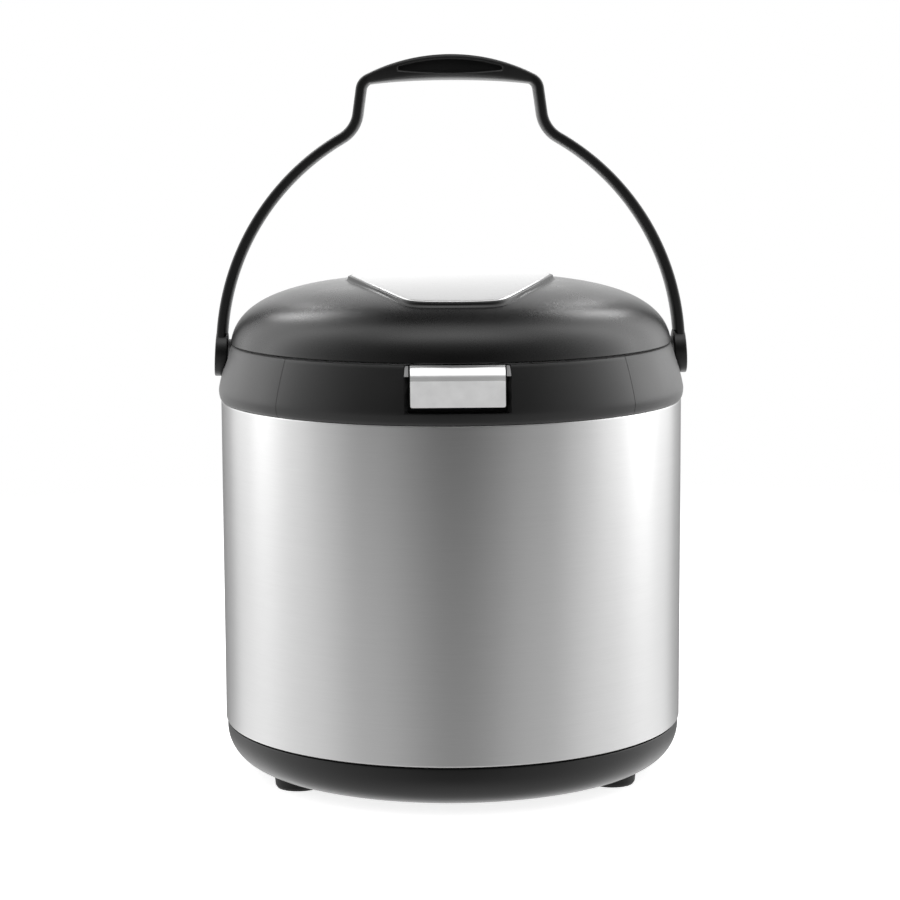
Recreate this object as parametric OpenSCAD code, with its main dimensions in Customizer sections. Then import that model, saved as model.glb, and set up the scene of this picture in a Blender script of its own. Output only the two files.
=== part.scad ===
// Thermal cooker: a double-walled steel body with a plastic base, a plastic
// collar, a hinged domed lid, a bail handle and a lidded cooking pot inside.
// Millimetres, +Z up, front towards -Y, origin on the floor under the body's axis.

/* [Body] */
// Outside diameter of the steel body
body_d = 270; // [240:1:320]
// Height of the bare steel wall
shell_h = 190; // [150:1:240]
// Sheet thickness of the steel walls
sheet_t = 0.8; // [0.5:0.1:1.4]
// Width of the hem turned in under the steel wall
hem_w = 6; // [5:0.5:9]
// Width of the vacuum jacket between the two steel walls
jacket_w = 16; // [13:0.5:30]
// Height of the vacuum space under the liner
vacuum_h = 6; // [3:0.5:12]

/* [Base] */
// Height of the base cap
base_h = 25; // [20:1:40]
// How far the base cap's top edge stands inside the steel wall
base_inset = 2; // [1:0.1:3]
// Inward lean of the base cap's side
base_draft = 2; // [0:0.1:4]
// Radius of the base cap's lower corner
base_corner = 13.5; // [8:0.5:18]
// Height of the spigot that centres the steel wall
spigot_h = 6; // [4:0.5:10]
// Wall thickness of the moulded parts
wall = 3; // [2.4:0.1:3.6]

/* [Feet] */
// Number of feet
foot_count = 3; // [3:1:5]
// Diameter of a foot
foot_d = 28; // [20:1:32]
// Height of a foot
foot_h = 6; // [5:0.5:10]
// Distance of the feet's centres inside the steel wall
foot_inset = 30; // [29:0.5:50]
// Diameter of a foot screw's shank
foot_screw_d = 3.4; // [2.5:0.1:4]

/* [Collar] */
// Height of the collar
collar_h = 32.2; // [30:0.1:45]
// How far the collar's top edge stands inside the steel wall
collar_top_inset = 6.2; // [5:0.1:7]
// How far the collar's widest line stands outside the steel wall
collar_bulge = 1.3; // [0.5:0.1:2.5]
// Height of the collar's widest line above its lower edge
collar_round = 6; // [5:0.5:10]

/* [Lid] */
// Open line between collar and lid
lid_gap = 0.8; // [0.6:0.1:1.5]
// How far the lid's widest line stands inside the steel wall
lid_inset = 5.4; // [5:0.1:7]
// Height of the lid's dome above its rim
dome_h = 36.8; // [30:0.1:50]
// Depth below the rim at which the dome's curve starts
dome_skirt = 10; // [6:0.5:14]
// Wall thickness of the lid
lid_wall = 2.6; // [2:0.1:3.2]

/* [Lid plate] */
// Width of the raised field that carries the steel plate
field_w = 120; // [90:1:140]
// Distance of the field's ends inside the lid's widest line
field_end_in = 30; // [27:0.1:45]
// Radius of each half of the field's long sides
field_flank_r = 300; // [240:5:400]
// Lean of these halves where they meet, at the widest point
field_flank_lean = 9; // [6:0.5:12]
// Rise of the field above the dome's own crown
field_rise = 3.6; // [3:0.1:6]
// Radius of the field's crown
field_crown_r = 540; // [400:5:900]
// Width of the black edge round the plate
plate_margin = 1.2; // [0.8:0.1:3]
// Thickness of the steel plate
plate_t = 1; // [0.6:0.1:1.5]
// How far the plate stands proud of the field
plate_proud = 0.4; // [0:0.1:0.6]

/* [Hinge] */
// Width of the hinge over its three knuckles
hinge_w = 56; // [40:1:80]
// Width of the lid's knuckle
hinge_mid_w = 26; // [16:1:34]
// Diameter of the knuckles
knuckle_d = 9.2; // [8:0.1:10]
// Diameter of the hinge pin
hinge_pin_d = 4; // [3:0.1:5]
// Distance of the hinge axis behind the collar's top edge
hinge_back = 6.7; // [6:0.1:8]

/* [Handle] */
// Height of the grip's top above the handle's pivots
handle_rise = 173.3; // [165:0.1:200]
// Height of the pivots above the collar's lower edge
pivot_z = 26; // [24:0.5:27]
// How far the arms' outer faces stand outside the steel wall at the pivots
arm_stand = 2.7; // [2:0.1:4]
// Radius of the grip's top
grip_r = 110; // [95:1:130]
// Half angle of the grip's arc, in degrees
grip_angle = 26.3; // [22:0.1:29]
// Height of the grip at its middle
grip_t = 15; // [12:0.5:18]
// Width of the grip, front to back
grip_w = 24; // [18:1:30]
// Outer radius of the bend beside the grip
shoulder_r = 10.5; // [9:0.5:14]
// Slope of the stalks under the grip, in degrees
stalk_angle = 82; // [76:1:86]
// Length of the stalks
stalk_l = 14.5; // [8:0.1:18]
// Radius of the bend where a stalk meets its arm
neck_r = 16; // [12:0.5:20]
// Slope of the arms at that bend, in degrees
neck_angle = 30; // [27:1:34]
// Slope of the arms' straight lower ends, in degrees
arm_end_angle = 87; // [84:0.5:88]
// Thickness of the arms
arm_t = 6.6; // [5:0.1:7.2]
// Width of the arms, front to back
arm_w = 16; // [12:0.5:17]
// Radius of the arms' round ends
eye_r = 13; // [11:0.5:13.5]
// Diameter of the handle's pivot pins
pivot_pin_d = 8; // [6:0.1:10]

/* [Latch] */
// Width of the latch button
button_w = 51.6; // [40:0.1:70]
// Height of the latch button
button_h = 22.1; // [20:0.1:24]
// Gap between the collar's top and the button's top
button_top_gap = 0.2; // [0.1:0.1:1]
// Gap at each end of the button
button_side_gap = 1.4; // [0.6:0.1:2.5]
// Gap under the button
button_foot_gap = 3.6; // [1:0.1:5]
// Diameter of the latch pin
latch_pin_d = 3; // [2:0.1:3.4]
// Number of turns of the latch spring
spring_turns = 4; // [3:1:5]
// Wire diameter of the latch spring
spring_wire = 0.7; // [0.5:0.05:0.9]
// Diameter of the latch spring to the middle of its wire
spring_d = 5.4; // [4:0.1:6]

/* [Pot] */
// Space between the cooking pot's side and the liner
pot_clear = 20; // [19:0.5:40]
// Distance of the pot's rim below the collar's ledge
pot_sink = 21; // [18:0.5:60]
// Sheet thickness of the pot
pot_t = 1; // [0.6:0.1:1.5]
// Thickness of the pot's sandwich base
pot_base_t = 5; // [3:0.5:7]
// Width of the pot's rolled rim
pot_rim = 4; // [3:0.5:6]
// Rod diameter of the pot's ears
ear_rod_d = 5.6; // [4:0.1:6]
// Width of an ear between its legs' centres
ear_w = 56; // [44:1:60]
// Drop of the ears below the pot's rim
ear_drop = 16; // [12:1:30]
// Rise of the pot lid's crown above its flange
pot_lid_rise = 9; // [5:0.5:10]
// Height of the pot lid's knob
knob_h = 15; // [10:0.5:16]
// Diameter of the pot lid's knob
knob_d = 34; // [24:1:40]

/* [Fits] */
// Radial running clearance of pins in their bores
pin_gap = 0.05; // [0.02:0.01:0.08]
// Clearance between pieces that seat in each other
seat_gap = 0.3; // [0.2:0.05:0.5]

/* [Hidden] */
$fn = 96;
over = 1;
// Levels, upwards from the floor
z_base = foot_h;
z_shell = z_base + base_h;
z_jacket = z_shell + spigot_h;
z_liner = z_jacket + sheet_t + vacuum_h;
z_collar = z_shell + shell_h;
z_top = z_collar + collar_h;
ledge_drop = 3.8;
z_ledge = z_top - ledge_drop;
z_lid = z_top + lid_gap;
z_pot = z_liner + sheet_t + seat_gap;
z_pot_wall = z_pot + pot_base_t;
z_pot_rim = z_ledge - pot_sink;
z_pot_lid = z_pot_rim + seat_gap;
// Radii
body_r = body_d / 2;
liner_r = body_r - jacket_w;
base_r = body_r - base_inset;
spigot_r = body_r - hem_w - seat_gap;
collar_max_r = body_r + collar_bulge;
collar_top_r = body_r - collar_top_inset;
foot_ring_r = body_r - foot_inset;
pot_r = liner_r - pot_clear;
// Depth of the foot screws' heads above the feet's undersides
foot_screw_sink = 0.4;
// Collar section
ledge_w = 3;
skirt_r = liner_r + seat_gap;
deck_r = skirt_r + ledge_w;
skirt_lift = 15;
z_skirt = z_collar + skirt_lift;
z_widest = z_collar + collar_round;
collar_ease = 1.25;
collar_steps = 8;
collar_foot_steps = 6;
collar_foot_in = 1.8;
rim_w = 2.6;
// Lid dome: a rounded profile between a steep side and a flat crown
lid_r = body_r - lid_inset;
field_r = lid_r - field_end_in;
dome_side = 3.37;
dome_top = 2.72;
z_dome = z_lid - dome_skirt;
dome_full = dome_h + dome_skirt;
dome_steps = 24;
z_crown = z_lid + dome_h + field_rise;
field_end_off = 6;
crown_steps = 9;
// Lid liner
flange_t = 2;
flange_lift = 0.5;
z_flange = z_lid + flange_lift;
plug_gap = 1.7;
plug_r = liner_r - sheet_t - plug_gap;
plug_drop = 7.5;
plug_w = 4.5;
pan_r = 45;
pan_top = 13.5;
pan_mid_r = 62;
pan_mid = 7.5;
pan_t = 2;
pan_fillet = 1;
gasket_fit = 0.2;
gasket_r = plug_r + gasket_fit;
gasket_w = 3.6;
gasket_h = z_flange - z_ledge - sheet_t - seat_gap;
lid_screw_count = 4;
lid_screw_d = 2.6;
lid_screw_head_d = 4;
lid_screw_l = 9;
flange_r = dome_radius(z_flange + flange_t, lid_wall) - seat_gap;
lid_screw_edge = 0.4;
lid_screw_ring_r = flange_r - lid_screw_head_d / 2 - seat_gap - lid_screw_edge;
boss_d = 7;
foam_gap = 0.4;
foam_lap = 2;
foam_r = plug_r + foam_lap;
// Hinge
hinge_y = collar_top_r + hinge_back;
hinge_drop = 1.2;
hinge_z = z_top - hinge_drop;
knuckle_gap = 0.4;
lug_root = 1;
// Handle
pivot_h = z_collar + pivot_z;
arm_out = body_r + arm_stand;
eye_out = 0.2;
eye_in = 7.2;
eye_side_gap = 0.6;
eye_back_gap = 0.4;
eye_pocket = eye_r + eye_side_gap;
pocket_floor = arm_out - eye_in - eye_back_gap;
pin_head_d = 14;
pin_head_t = 1.4;
pin_head_sink = 0.8;
pin_seat = 7;
grip_cut_inset = 2.9;
grip_cut_drop = 9.1;
grip_cut_half = 30;
grip_cut_depth = 6;
// Latch
button_z1 = z_top - button_top_gap;
button_z0 = button_z1 - button_h;
pin_drop = 10.2;
latch_z = button_z1 - pin_drop;
latch_out = 0.6;
latch_y = -(collar_top_r + latch_out);
button_face = 3.6;
button_lean = 2;
button_plate = 3;
button_crest = 7.9;
button_crest_back = 3;
button_boss_r = 3.2;
button_boss_w = 12;
pocket_half = button_w / 2 + button_side_gap;
pocket_mouth = 3.3;
pocket_mouth_d = 4;
pocket_z = button_z0 - button_foot_gap;
latch_pin_in = 0.3;
latch_pin_l = button_w - 2 * latch_pin_in;
latch_lug_w = 3.2;
latch_lug_r = 3;
latch_lug_x = button_w / 2 - button_boss_w - knuckle_gap - latch_lug_w;
hook_half = 9;
hook_t = 2;
hook_drop = 1.2;
catch_half = 8;
catch_t = 1.2;
catch_back = 0.4;
catch_gap = 0.5;
catch_in = 4.5;
catch_lip = 1.8;
catch_y = latch_y + catch_in;
hook_y = catch_y - catch_lip - seat_gap;
pocket_y = catch_y + catch_t + catch_back;
catch_lip_t = 1.9;
catch_plate_t = 1;
catch_plate_half = 12;
catch_plate_l = 3.6;
spring_lift = 4;
spring_z = button_z0 + spring_lift;
spring_seat = 0.15;
// Pot
pot_corner = 10;
pot_rim_edge = 1;
pot_base_edge = 1;
pot_base_in = 11;
ear_out = 11;
ear_bend = 8;
ear_pad_d = 14;
ear_pad_out = 2;
rivet_d = 4;
rivet_head_d = 7.5;
rivet_head_t = 1.2;
pot_lid_plug = 6;
pot_lid_lap = 1;
knob_washer_d = 18;
knob_washer_t = 1;
knob_screw_d = 4;
knob_screw_l = 9;
knob_head_d = 9;
knob_head_t = 2;

// Points of an arc about c, from angle a to angle b
function arc(c, r, a, b, n = 8) =
    [for (i = [0:n]) let (t = a + (b - a) * i / n) c + r * [cos(t), sin(t)]];

// Outer radius of the collar at a height z above its widest line
function collar_r(z) = collar_max_r
    - (collar_max_r - collar_top_r) * pow((z - z_widest) / (z_top - z_widest), collar_ease);

// Profile of the lid's dome, shrunk by inset, from the rim up to the axis
function dome_point(t, inset) =
    [(lid_r - inset) * pow(max(0, cos(t)), 2 / dome_side),
     z_dome + (dome_full - inset) * pow(sin(t), 2 / dome_top)];
function dome_angle(z, inset) = asin(pow((z - z_dome) / (dome_full - inset), dome_top / 2));
function dome_radius(z, inset) = dome_point(dome_angle(z, inset), inset)[0];
function dome_curve(inset) =
    [for (i = [0:dome_steps])
        let (a = dome_angle(z_lid, inset)) dome_point(a + (90 - a) * i / dome_steps, inset)];

// Places what it is given on every foot
module at_feet() {
    for (i = [0:foot_count - 1])
        rotate(90 + 360 * i / foot_count) translate([foot_ring_r, 0, 0]) children();
}

// Moulded tub that closes the body's bottom and centres the steel wall
module base_cap() {
    corner = [base_r - base_draft - base_corner, z_base + base_corner];
    inner_corner = base_corner - wall;
    color("#1d1d1f") difference() {
        union() {
            rotate_extrude() polygon(concat(
                [[0, z_base]],
                arc(corner, base_corner, -90, 0),
                [[base_r, z_shell], [spigot_r, z_shell], [spigot_r, z_jacket],
                 [spigot_r - wall, z_jacket], [spigot_r - wall, z_shell - wall]],
                arc(corner, inner_corner, 0, -90),
                [[0, z_base + wall]]));
            at_feet() translate([0, 0, z_base + wall - over])
                cylinder(d = foot_screw_d + 2 * wall, h = wall + 2 * over);
        }
        at_feet() translate([0, 0, z_base - over])
            cylinder(d = foot_screw_d + 2 * pin_gap, h = 2 * wall + 4 * over);
    }
}

// Rubber feet with a countersunk seat for their screws
module rubber_feet() {
    edge = 1.5;
    head_d = 2 * foot_screw_d;
    color("#151516") at_feet() rotate_extrude() polygon([
        [foot_screw_d / 2 + seat_gap, z_base - foot_h / 3],
        [head_d / 2 + seat_gap, z_base - foot_h / 3],
        [head_d / 2 + seat_gap, 0],
        [foot_d / 2 - edge, 0],
        [foot_d / 2 - edge / 3, edge],
        [foot_d / 2, z_base],
        [foot_screw_d / 2 + seat_gap, z_base]]);
}

// Screws that hold the feet to the base cap
module foot_screws() {
    head_t = foot_h / 3 - foot_screw_sink;
    color("#9a9b9d") at_feet() {
        translate([0, 0, z_base - foot_h / 3 - head_t]) cylinder(d = 2 * foot_screw_d, h = head_t);
        translate([0, 0, z_base - foot_h / 3]) cylinder(d = foot_screw_d, h = foot_h / 3 + 2 * wall);
    }
}

// Outer steel wall with a hem at the foot and a shoulder turned in at the top
module outer_shell() {
    hem_r = body_r - hem_w;
    neck_r = liner_r + seat_gap / 3;
    color("#c4c5c6") rotate_extrude() polygon([
        [hem_r, z_shell], [body_r, z_shell], [body_r, z_collar], [neck_r, z_collar],
        [neck_r, z_collar - sheet_t], [body_r - sheet_t, z_collar - sheet_t],
        [body_r - sheet_t, z_shell + sheet_t], [hem_r, z_shell + sheet_t]]);
}

// Steel disc with an upturned edge that closes the vacuum space below
module jacket_bottom() {
    edge_r = body_r - sheet_t - seat_gap / 3;
    edge_h = 5;
    color("#b4b5b6") rotate_extrude() polygon([
        [0, z_jacket], [edge_r, z_jacket], [edge_r, z_jacket + edge_h],
        [edge_r - sheet_t, z_jacket + edge_h], [edge_r - sheet_t, z_jacket + sheet_t],
        [0, z_jacket + sheet_t]]);
}

// Inner steel wall, a deep cup that hangs by its rim on the collar's ledge
module inner_liner() {
    corner_r = 14;
    corner = [liner_r - corner_r, z_liner + corner_r];
    rim_r = deck_r - seat_gap;
    color("#bcbdbe") rotate_extrude() polygon(concat(
        [[0, z_liner]],
        arc(corner, corner_r, -90, 0),
        [[liner_r, z_ledge], [rim_r, z_ledge], [rim_r, z_ledge + sheet_t],
         [liner_r - sheet_t, z_ledge + sheet_t]],
        arc(corner, corner_r - sheet_t, 0, -90),
        [[0, z_liner + sheet_t]]));
}

// Outer side of the collar up to a height as profile points, moved in by inset
function collar_side(inset, z_end) = concat(
    [[collar_max_r - collar_foot_in - inset, z_collar]],
    [for (i = [1:collar_foot_steps]) let (t = 90 * i / collar_foot_steps)
        [collar_max_r - collar_foot_in * (1 - sin(t)) - inset, z_widest - collar_round * cos(t)]],
    [for (i = [1:collar_steps]) let (z = z_widest + (z_end - z_widest) * i / collar_steps)
        [collar_r(z) - inset, z]]);

// Full collar ring, with no hollow
module collar_block() {
    rotate_extrude() polygon(concat(
        collar_side(0, z_top),
        [[deck_r, z_top], [deck_r, z_ledge], [skirt_r, z_ledge],
         [skirt_r, z_collar]]));
}

// Hollow between the collar's outer skin and its inner skirt
module collar_hollow() {
    roof = z_ledge - wall;
    difference() {
        rotate_extrude() polygon(concat(
            [[skirt_r - over, z_collar - over], [collar_max_r - collar_foot_in - wall, z_collar - over]],
            collar_side(wall, roof),
            [[skirt_r + wall, roof],
             [skirt_r + wall, z_skirt], [skirt_r - over, z_skirt]]));
        for (s = [-1, 1]) translate([s * body_r, 0, z_collar + collar_h / 2])
            cube([body_r, 2 * eye_pocket + 4 * wall, 2 * collar_h], center = true);
        translate([0, -body_r, z_collar + collar_h / 2])
            cube([2 * (pocket_half + pocket_mouth) + 3 * wall, body_r, 2 * collar_h], center = true);
        translate([0, body_r, z_collar + collar_h / 2])
            cube([hinge_w + 2 * wall, body_r, 2 * collar_h], center = true);
    }
}

// Pocket in the collar's front in which the latch button rocks
module latch_pocket() {
    front = -2 * body_r;
    mouth = pocket_half + pocket_mouth;
    mouth_y = latch_y - pocket_mouth_d;
    translate([0, 0, pocket_z]) linear_extrude(collar_h) polygon([
        [-mouth, front], [mouth, front], [mouth, mouth_y], [pocket_half, mouth_y + pocket_mouth_d],
        [pocket_half, pocket_y], [-pocket_half, pocket_y], [-pocket_half, mouth_y + pocket_mouth_d],
        [-mouth, mouth_y]]);
}

// Round bar along X at the given place
module bar_x(d, x0, x1, y, z) {
    translate([x0, y, z]) rotate([0, 90, 0]) cylinder(d = d, h = x1 - x0);
}

// Moulded ring that holds the liner, the handle, the latch and the hinge
module collar() {
    knuckle = (hinge_w - hinge_mid_w) / 2 - knuckle_gap;
    web_z = hinge_z - knuckle_d / 2;
    color("#202022") difference() {
        union() {
            difference() {
                collar_block();
                collar_hollow();
                latch_pocket();
            }
            for (s = [0, 1]) mirror([s, 0, 0]) {
                bar_x(knuckle_d, hinge_w / 2 - knuckle, hinge_w / 2, hinge_y, hinge_z);
                translate([hinge_w / 2 - knuckle, deck_r + rim_w, web_z])
                    cube([knuckle, hinge_y - deck_r - rim_w, knuckle_d / 2]);
                translate([latch_lug_x, latch_y, latch_z - latch_lug_r])
                    cube([latch_lug_w, pocket_y - latch_y + over, 2 * latch_lug_r]);
            }
        }
        bar_x(hinge_pin_d + 2 * pin_gap, -hinge_w, hinge_w, hinge_y, hinge_z);
        bar_x(latch_pin_d + 2 * pin_gap, -latch_pin_l / 2, latch_pin_l / 2, latch_y, latch_z);
        for (s = [0, 1]) mirror([s, 0, 0]) {
            bar_x(2 * eye_pocket, pocket_floor, body_d, 0, pivot_h);
            bar_x(pivot_pin_d + 2 * pin_gap, pocket_floor - pin_seat, body_d, 0, pivot_h);
        }
    }
}

// Headed pin on which one arm of the handle turns
module pivot_pin(side) {
    head_x = arm_out - pin_head_sink - pin_head_t;
    color("#2b2b2d") mirror([side, 0, 0]) {
        bar_x(pivot_pin_d, pocket_floor - pin_seat + pin_gap, head_x + over / 2, 0, pivot_h);
        bar_x(pin_head_d, head_x, head_x + pin_head_t, 0, pivot_h);
    }
}
module pivot_pin_left() { pivot_pin(1); }
module pivot_pin_right() { pivot_pin(0); }

// Handle path: the outer edge from the grip's middle down to one pivot, as arcs.
// Each station is [x, z, slope]; the slope is the path's fall in degrees.
z_grip = pivot_h + handle_rise;
function turn(p, r, a, b, n) =
    [for (i = [1:n]) let (t = a + (b - a) * i / n, s = b > a ? 1 : -1)
        [p[0] + s * r * (sin(t) - sin(a)), p[1] + s * r * (cos(t) - cos(a)), t]];
grip_steps = 10;
shoulder_steps = 6;
neck_steps = 7;
arm_steps = 20;
grip_path = turn([0, z_grip], grip_r, 0, grip_angle, grip_steps);
grip_end = grip_path[grip_steps - 1];
shoulder_path = turn(grip_end, shoulder_r, grip_angle, stalk_angle, shoulder_steps);
shoulder_end = shoulder_path[shoulder_steps - 1];
stalk_end = [shoulder_end[0] + stalk_l * cos(stalk_angle),
             shoulder_end[1] - stalk_l * sin(stalk_angle), stalk_angle];
neck_path = turn(stalk_end, neck_r, stalk_angle, neck_angle, neck_steps);
neck_end = neck_path[neck_steps - 1];
arm_lean = 1 / tan(arm_end_angle);
arm_r = (arm_out - neck_end[0] - (neck_end[1] - pivot_h) * arm_lean)
    / (sin(arm_end_angle) - sin(neck_angle) - (cos(neck_angle) - cos(arm_end_angle)) * arm_lean);
arm_path = turn(neck_end, arm_r, neck_angle, arm_end_angle, arm_steps);
half_path = concat([[0, z_grip, 0]], grip_path, shoulder_path, [stalk_end], neck_path, arm_path,
                   [[arm_out, pivot_h, arm_end_angle]]);
// Share of grip in the section at a station: 1 at the middle, 0 on the arms
function grip_share(p) = p[1] < z_grip - grip_r * (1 - cos(grip_angle)) - 0.01 ? 0
    : 1 - pow(min(1, p[2] / grip_angle), 2);
// Section at a station, as eight points in X, Y and Z
edge_out = 1.2;
arm_bevel = 1.4;
arm_bevel_w = 4;
grip_bevel = 4;
grip_bevel_w = 5;
function section(p, m) = let (
    g = grip_share(p),
    t = arm_t + (grip_t - arm_t) * g,
    h = (arm_w + (grip_w - arm_w) * g) / 2,
    c = arm_bevel + (grip_bevel - arm_bevel) * g,
    w = arm_bevel_w + (grip_bevel_w - arm_bevel_w) * g,
    out = [[0, edge_out - h], [0, h - edge_out], [-edge_out, h], [c - t, h], [-t, h - w], [-t, w - h],
           [c - t, -h], [-edge_out, -h]])
    [for (q = out) [m * (p[0] + q[0] * sin(p[2])), q[1], p[1] + q[0] * cos(p[2])]];
half_n = len(half_path);
rings = concat([for (i = [half_n - 1:-1:1]) section(half_path[i], -1)],
               [for (i = [0:half_n - 1]) section(half_path[i], 1)]);
// Skin of a tube through rings of equal length
module skin(rings) {
    n = len(rings);
    k = len(rings[0]);
    polyhedron(
        points = [for (r = rings) each r],
        faces = concat(
            [[for (j = [k - 1:-1:0]) j]],
            [for (i = [0:n - 2], j = [0:k - 1])
                let (a = i * k + j, b = i * k + (j + 1) % k) each [[a, b, a + k], [b, b + k, a + k]]],
            [[for (j = [0:k - 1]) (n - 1) * k + j]]));
}

// Round end of an arm, with its outer face along the arm
module arm_eye() {
    reach = arm_out + eye_out;
    lean = 2 * eye_r * arm_lean;
    intersection() {
        bar_x(2 * eye_r, arm_out - eye_in, arm_out + lean, 0, pivot_h);
        rotate([90, 0, 0]) linear_extrude(4 * eye_r, center = true) polygon([
            [0, pivot_h - 2 * eye_r], [reach + lean, pivot_h - 2 * eye_r],
            [reach - lean, pivot_h + 2 * eye_r], [0, pivot_h + 2 * eye_r]]);
    }
}

// Bail handle with a hollowed grip and round ends on the pivot pins
module carry_handle() {
    head_x = arm_out - pin_head_sink - pin_head_t;
    color("#1a1a1c") difference() {
        union() {
            skin(rings);
            for (s = [0, 1]) mirror([s, 0, 0]) arm_eye();
        }
        for (s = [0, 1]) mirror([s, 0, 0]) {
            bar_x(pivot_pin_d + 2 * pin_gap, arm_out - eye_in - arm_t, 2 * arm_out, 0, pivot_h);
            bar_x(pin_head_d + 4 * pin_gap, head_x - pin_gap, 2 * arm_out, 0, pivot_h);
        }
        for (s = [0, 1]) mirror([0, s, 0])
            translate([0, grip_cut_depth - grip_w / 2, 0]) rotate([90, 0, 0])
                linear_extrude(grip_w) intersection() {
                    translate([0, z_grip - grip_r]) circle(r = grip_r - grip_cut_inset);
                    translate([-grip_cut_half, z_grip - grip_cut_drop])
                        square([2 * grip_cut_half, grip_cut_drop]);
                }
    }
}

// Chromed rocker button with a hook that ends in front of the lid's catch
module latch_button() {
    face0 = latch_y - button_face - button_lean;
    face1 = latch_y - button_face;
    z_crest = button_z1 - button_crest;
    crest = [face1 + button_crest_back + button_plate, z_crest];
    back = face1 + button_plate;
    color("#d5d6d8") difference() {
        union() {
            translate([-button_w / 2, 0, 0]) rotate([90, 0, 90]) linear_extrude(button_w) polygon(concat(
                [[face0, button_z0], [back - button_lean, button_z0], [back, z_crest],
                 [back + button_crest_back, button_z1]],
                [for (i = [0:6]) let (t = 90 + 15 * i)
                    [crest[0] + (crest[0] - face1) * cos(t), z_crest + button_crest * sin(t)]]));
            for (s = [0, 1]) mirror([s, 0, 0]) {
                bar_x(2 * button_boss_r, button_w / 2 - button_boss_w, button_w / 2, latch_y, latch_z);
                translate([button_w / 2 - button_boss_w, back - over, latch_z - button_boss_r])
                    cube([button_boss_w, latch_y - back + over, 2 * button_boss_r]);
            }
            translate([-hook_half, back, button_z1 - hook_drop - hook_t])
                cube([2 * hook_half, hook_y - back, hook_t]);
        }
        bar_x(latch_pin_d + 2 * pin_gap, -button_w, button_w, latch_y, latch_z);
    }
}

// Steel pin of the latch button
module latch_pin() {
    color("#8f9092")
        bar_x(latch_pin_d, pin_gap - latch_pin_l / 2, latch_pin_l / 2 - pin_gap, latch_y, latch_z);
}

// Compression spring behind the button's lower edge, one unbroken tube
spring_y0 = latch_y - button_face + button_plate - button_lean
    + button_lean * (spring_z - button_z0) / (button_h - button_crest) + 2 * spring_seat;
spring_l = pocket_y - spring_y0 - spring_seat;
turn_rings = 8;
spring_rings = turn_rings * spring_turns;
function spring_ring(i) = let (
    t = 360 * i / turn_rings,
    pitch = (spring_l - spring_wire) / spring_rings,
    y = spring_y0 + spring_wire / 2 + pitch * i)
    [for (j = [0:5]) let (u = -60 * j, r = spring_d / 2 + spring_wire / 2 * cos(u))
        [r * cos(t), y + spring_wire / 2 * sin(u), spring_z + r * sin(t)]];
echo("least gap between spring turns", (spring_l - spring_wire) / spring_turns - spring_wire);
module latch_spring() {
    color("#a6a7a9") skin([for (i = [0:spring_rings]) spring_ring(i)]);
}

// Steel pin of the lid's hinge
module hinge_pin() {
    color("#8f9092") bar_x(hinge_pin_d, -hinge_w / 2, hinge_w / 2, hinge_y, hinge_z);
}

// Outline of the raised field on the lid, moved in by inset
module field_outline(inset) {
    flank_x = field_w / 2 - field_flank_r * cos(field_flank_lean);
    flank_y = field_flank_r * sin(field_flank_lean);
    intersection() {
        translate([flank_x, flank_y]) circle(r = field_flank_r - inset);
        translate([flank_x, -flank_y]) circle(r = field_flank_r - inset);
        translate([-flank_x, flank_y]) circle(r = field_flank_r - inset);
        translate([-flank_x, -flank_y]) circle(r = field_flank_r - inset);
        translate([0, field_end_off]) circle(r = field_r + field_end_off - inset);
        translate([0, -field_end_off]) circle(r = field_r + field_end_off - inset);
    }
}

// Crowned solid that gives the field its top, moved up by rise, its seam clear of the field's corners
module crown(rise) {
    z_mid = z_crown + rise - field_crown_r;
    rotate(45) rotate_extrude() polygon(concat(
        [[0, z_lid], [lid_r, z_lid]],
        [for (i = [crown_steps:-1:0]) let (r = lid_r * i / crown_steps)
            [r, z_mid + sqrt(field_crown_r * field_crown_r - r * r)]]));
}

// Solid of the field's outline under a crown of the given height offset
module field_block(inset, rise) {
    intersection() {
        translate([0, 0, z_lid + dome_h / 2]) linear_extrude(dome_h) field_outline(inset);
        crown(rise);
    }
}

// Places what it is given on every lid screw
module at_lid_screws() {
    for (i = [0:lid_screw_count - 1])
        rotate(45 + 360 * i / lid_screw_count) translate([lid_screw_ring_r, 0, 0]) children();
}

// Moulded domed lid with the hinge's middle knuckle and the field for the plate
module lid_shell() {
    lug_z = z_lid;
    color("#1f1f21") difference() {
        union() {
            difference() {
                union() {
                    rotate_extrude() polygon(concat([[0, z_lid]], dome_curve(0)));
                    field_block(0, 0);
                }
                rotate_extrude() polygon(concat(
                    [[0, z_lid - over], [lid_r - lid_wall, z_lid - over]], dome_curve(lid_wall)));
            }
            intersection() {
                at_lid_screws() translate([0, 0, z_flange + flange_t])
                    cylinder(d = boss_d, h = dome_h);
                rotate_extrude() polygon(concat([[0, z_lid]], dome_curve(lid_wall / 2)));
            }
            bar_x(knuckle_d, -hinge_mid_w / 2, hinge_mid_w / 2, hinge_y, hinge_z);
            translate([-hinge_mid_w / 2, lid_r - lid_wall + lug_root, lug_z])
                cube([hinge_mid_w, hinge_y - lid_r + lid_wall - lug_root, hinge_z + knuckle_d / 2 - lug_z]);
        }
        bar_x(hinge_pin_d + 2 * pin_gap, -hinge_w, hinge_w, hinge_y, hinge_z);
        at_lid_screws() translate([0, 0, z_flange])
            cylinder(d = lid_screw_d + 2 * pin_gap, h = lid_screw_l + seat_gap);
        difference() {
            translate([0, 0, z_lid + dome_h / 2]) linear_extrude(dome_h) field_outline(plate_margin);
            crown(-plate_t);
        }
    }
}

// Steel plate let into the lid's raised field
module lid_plate() {
    color("#cfd0d1") difference() {
        field_block(plate_margin + seat_gap, plate_proud);
        crown(pin_gap - plate_t);
    }
}

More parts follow.
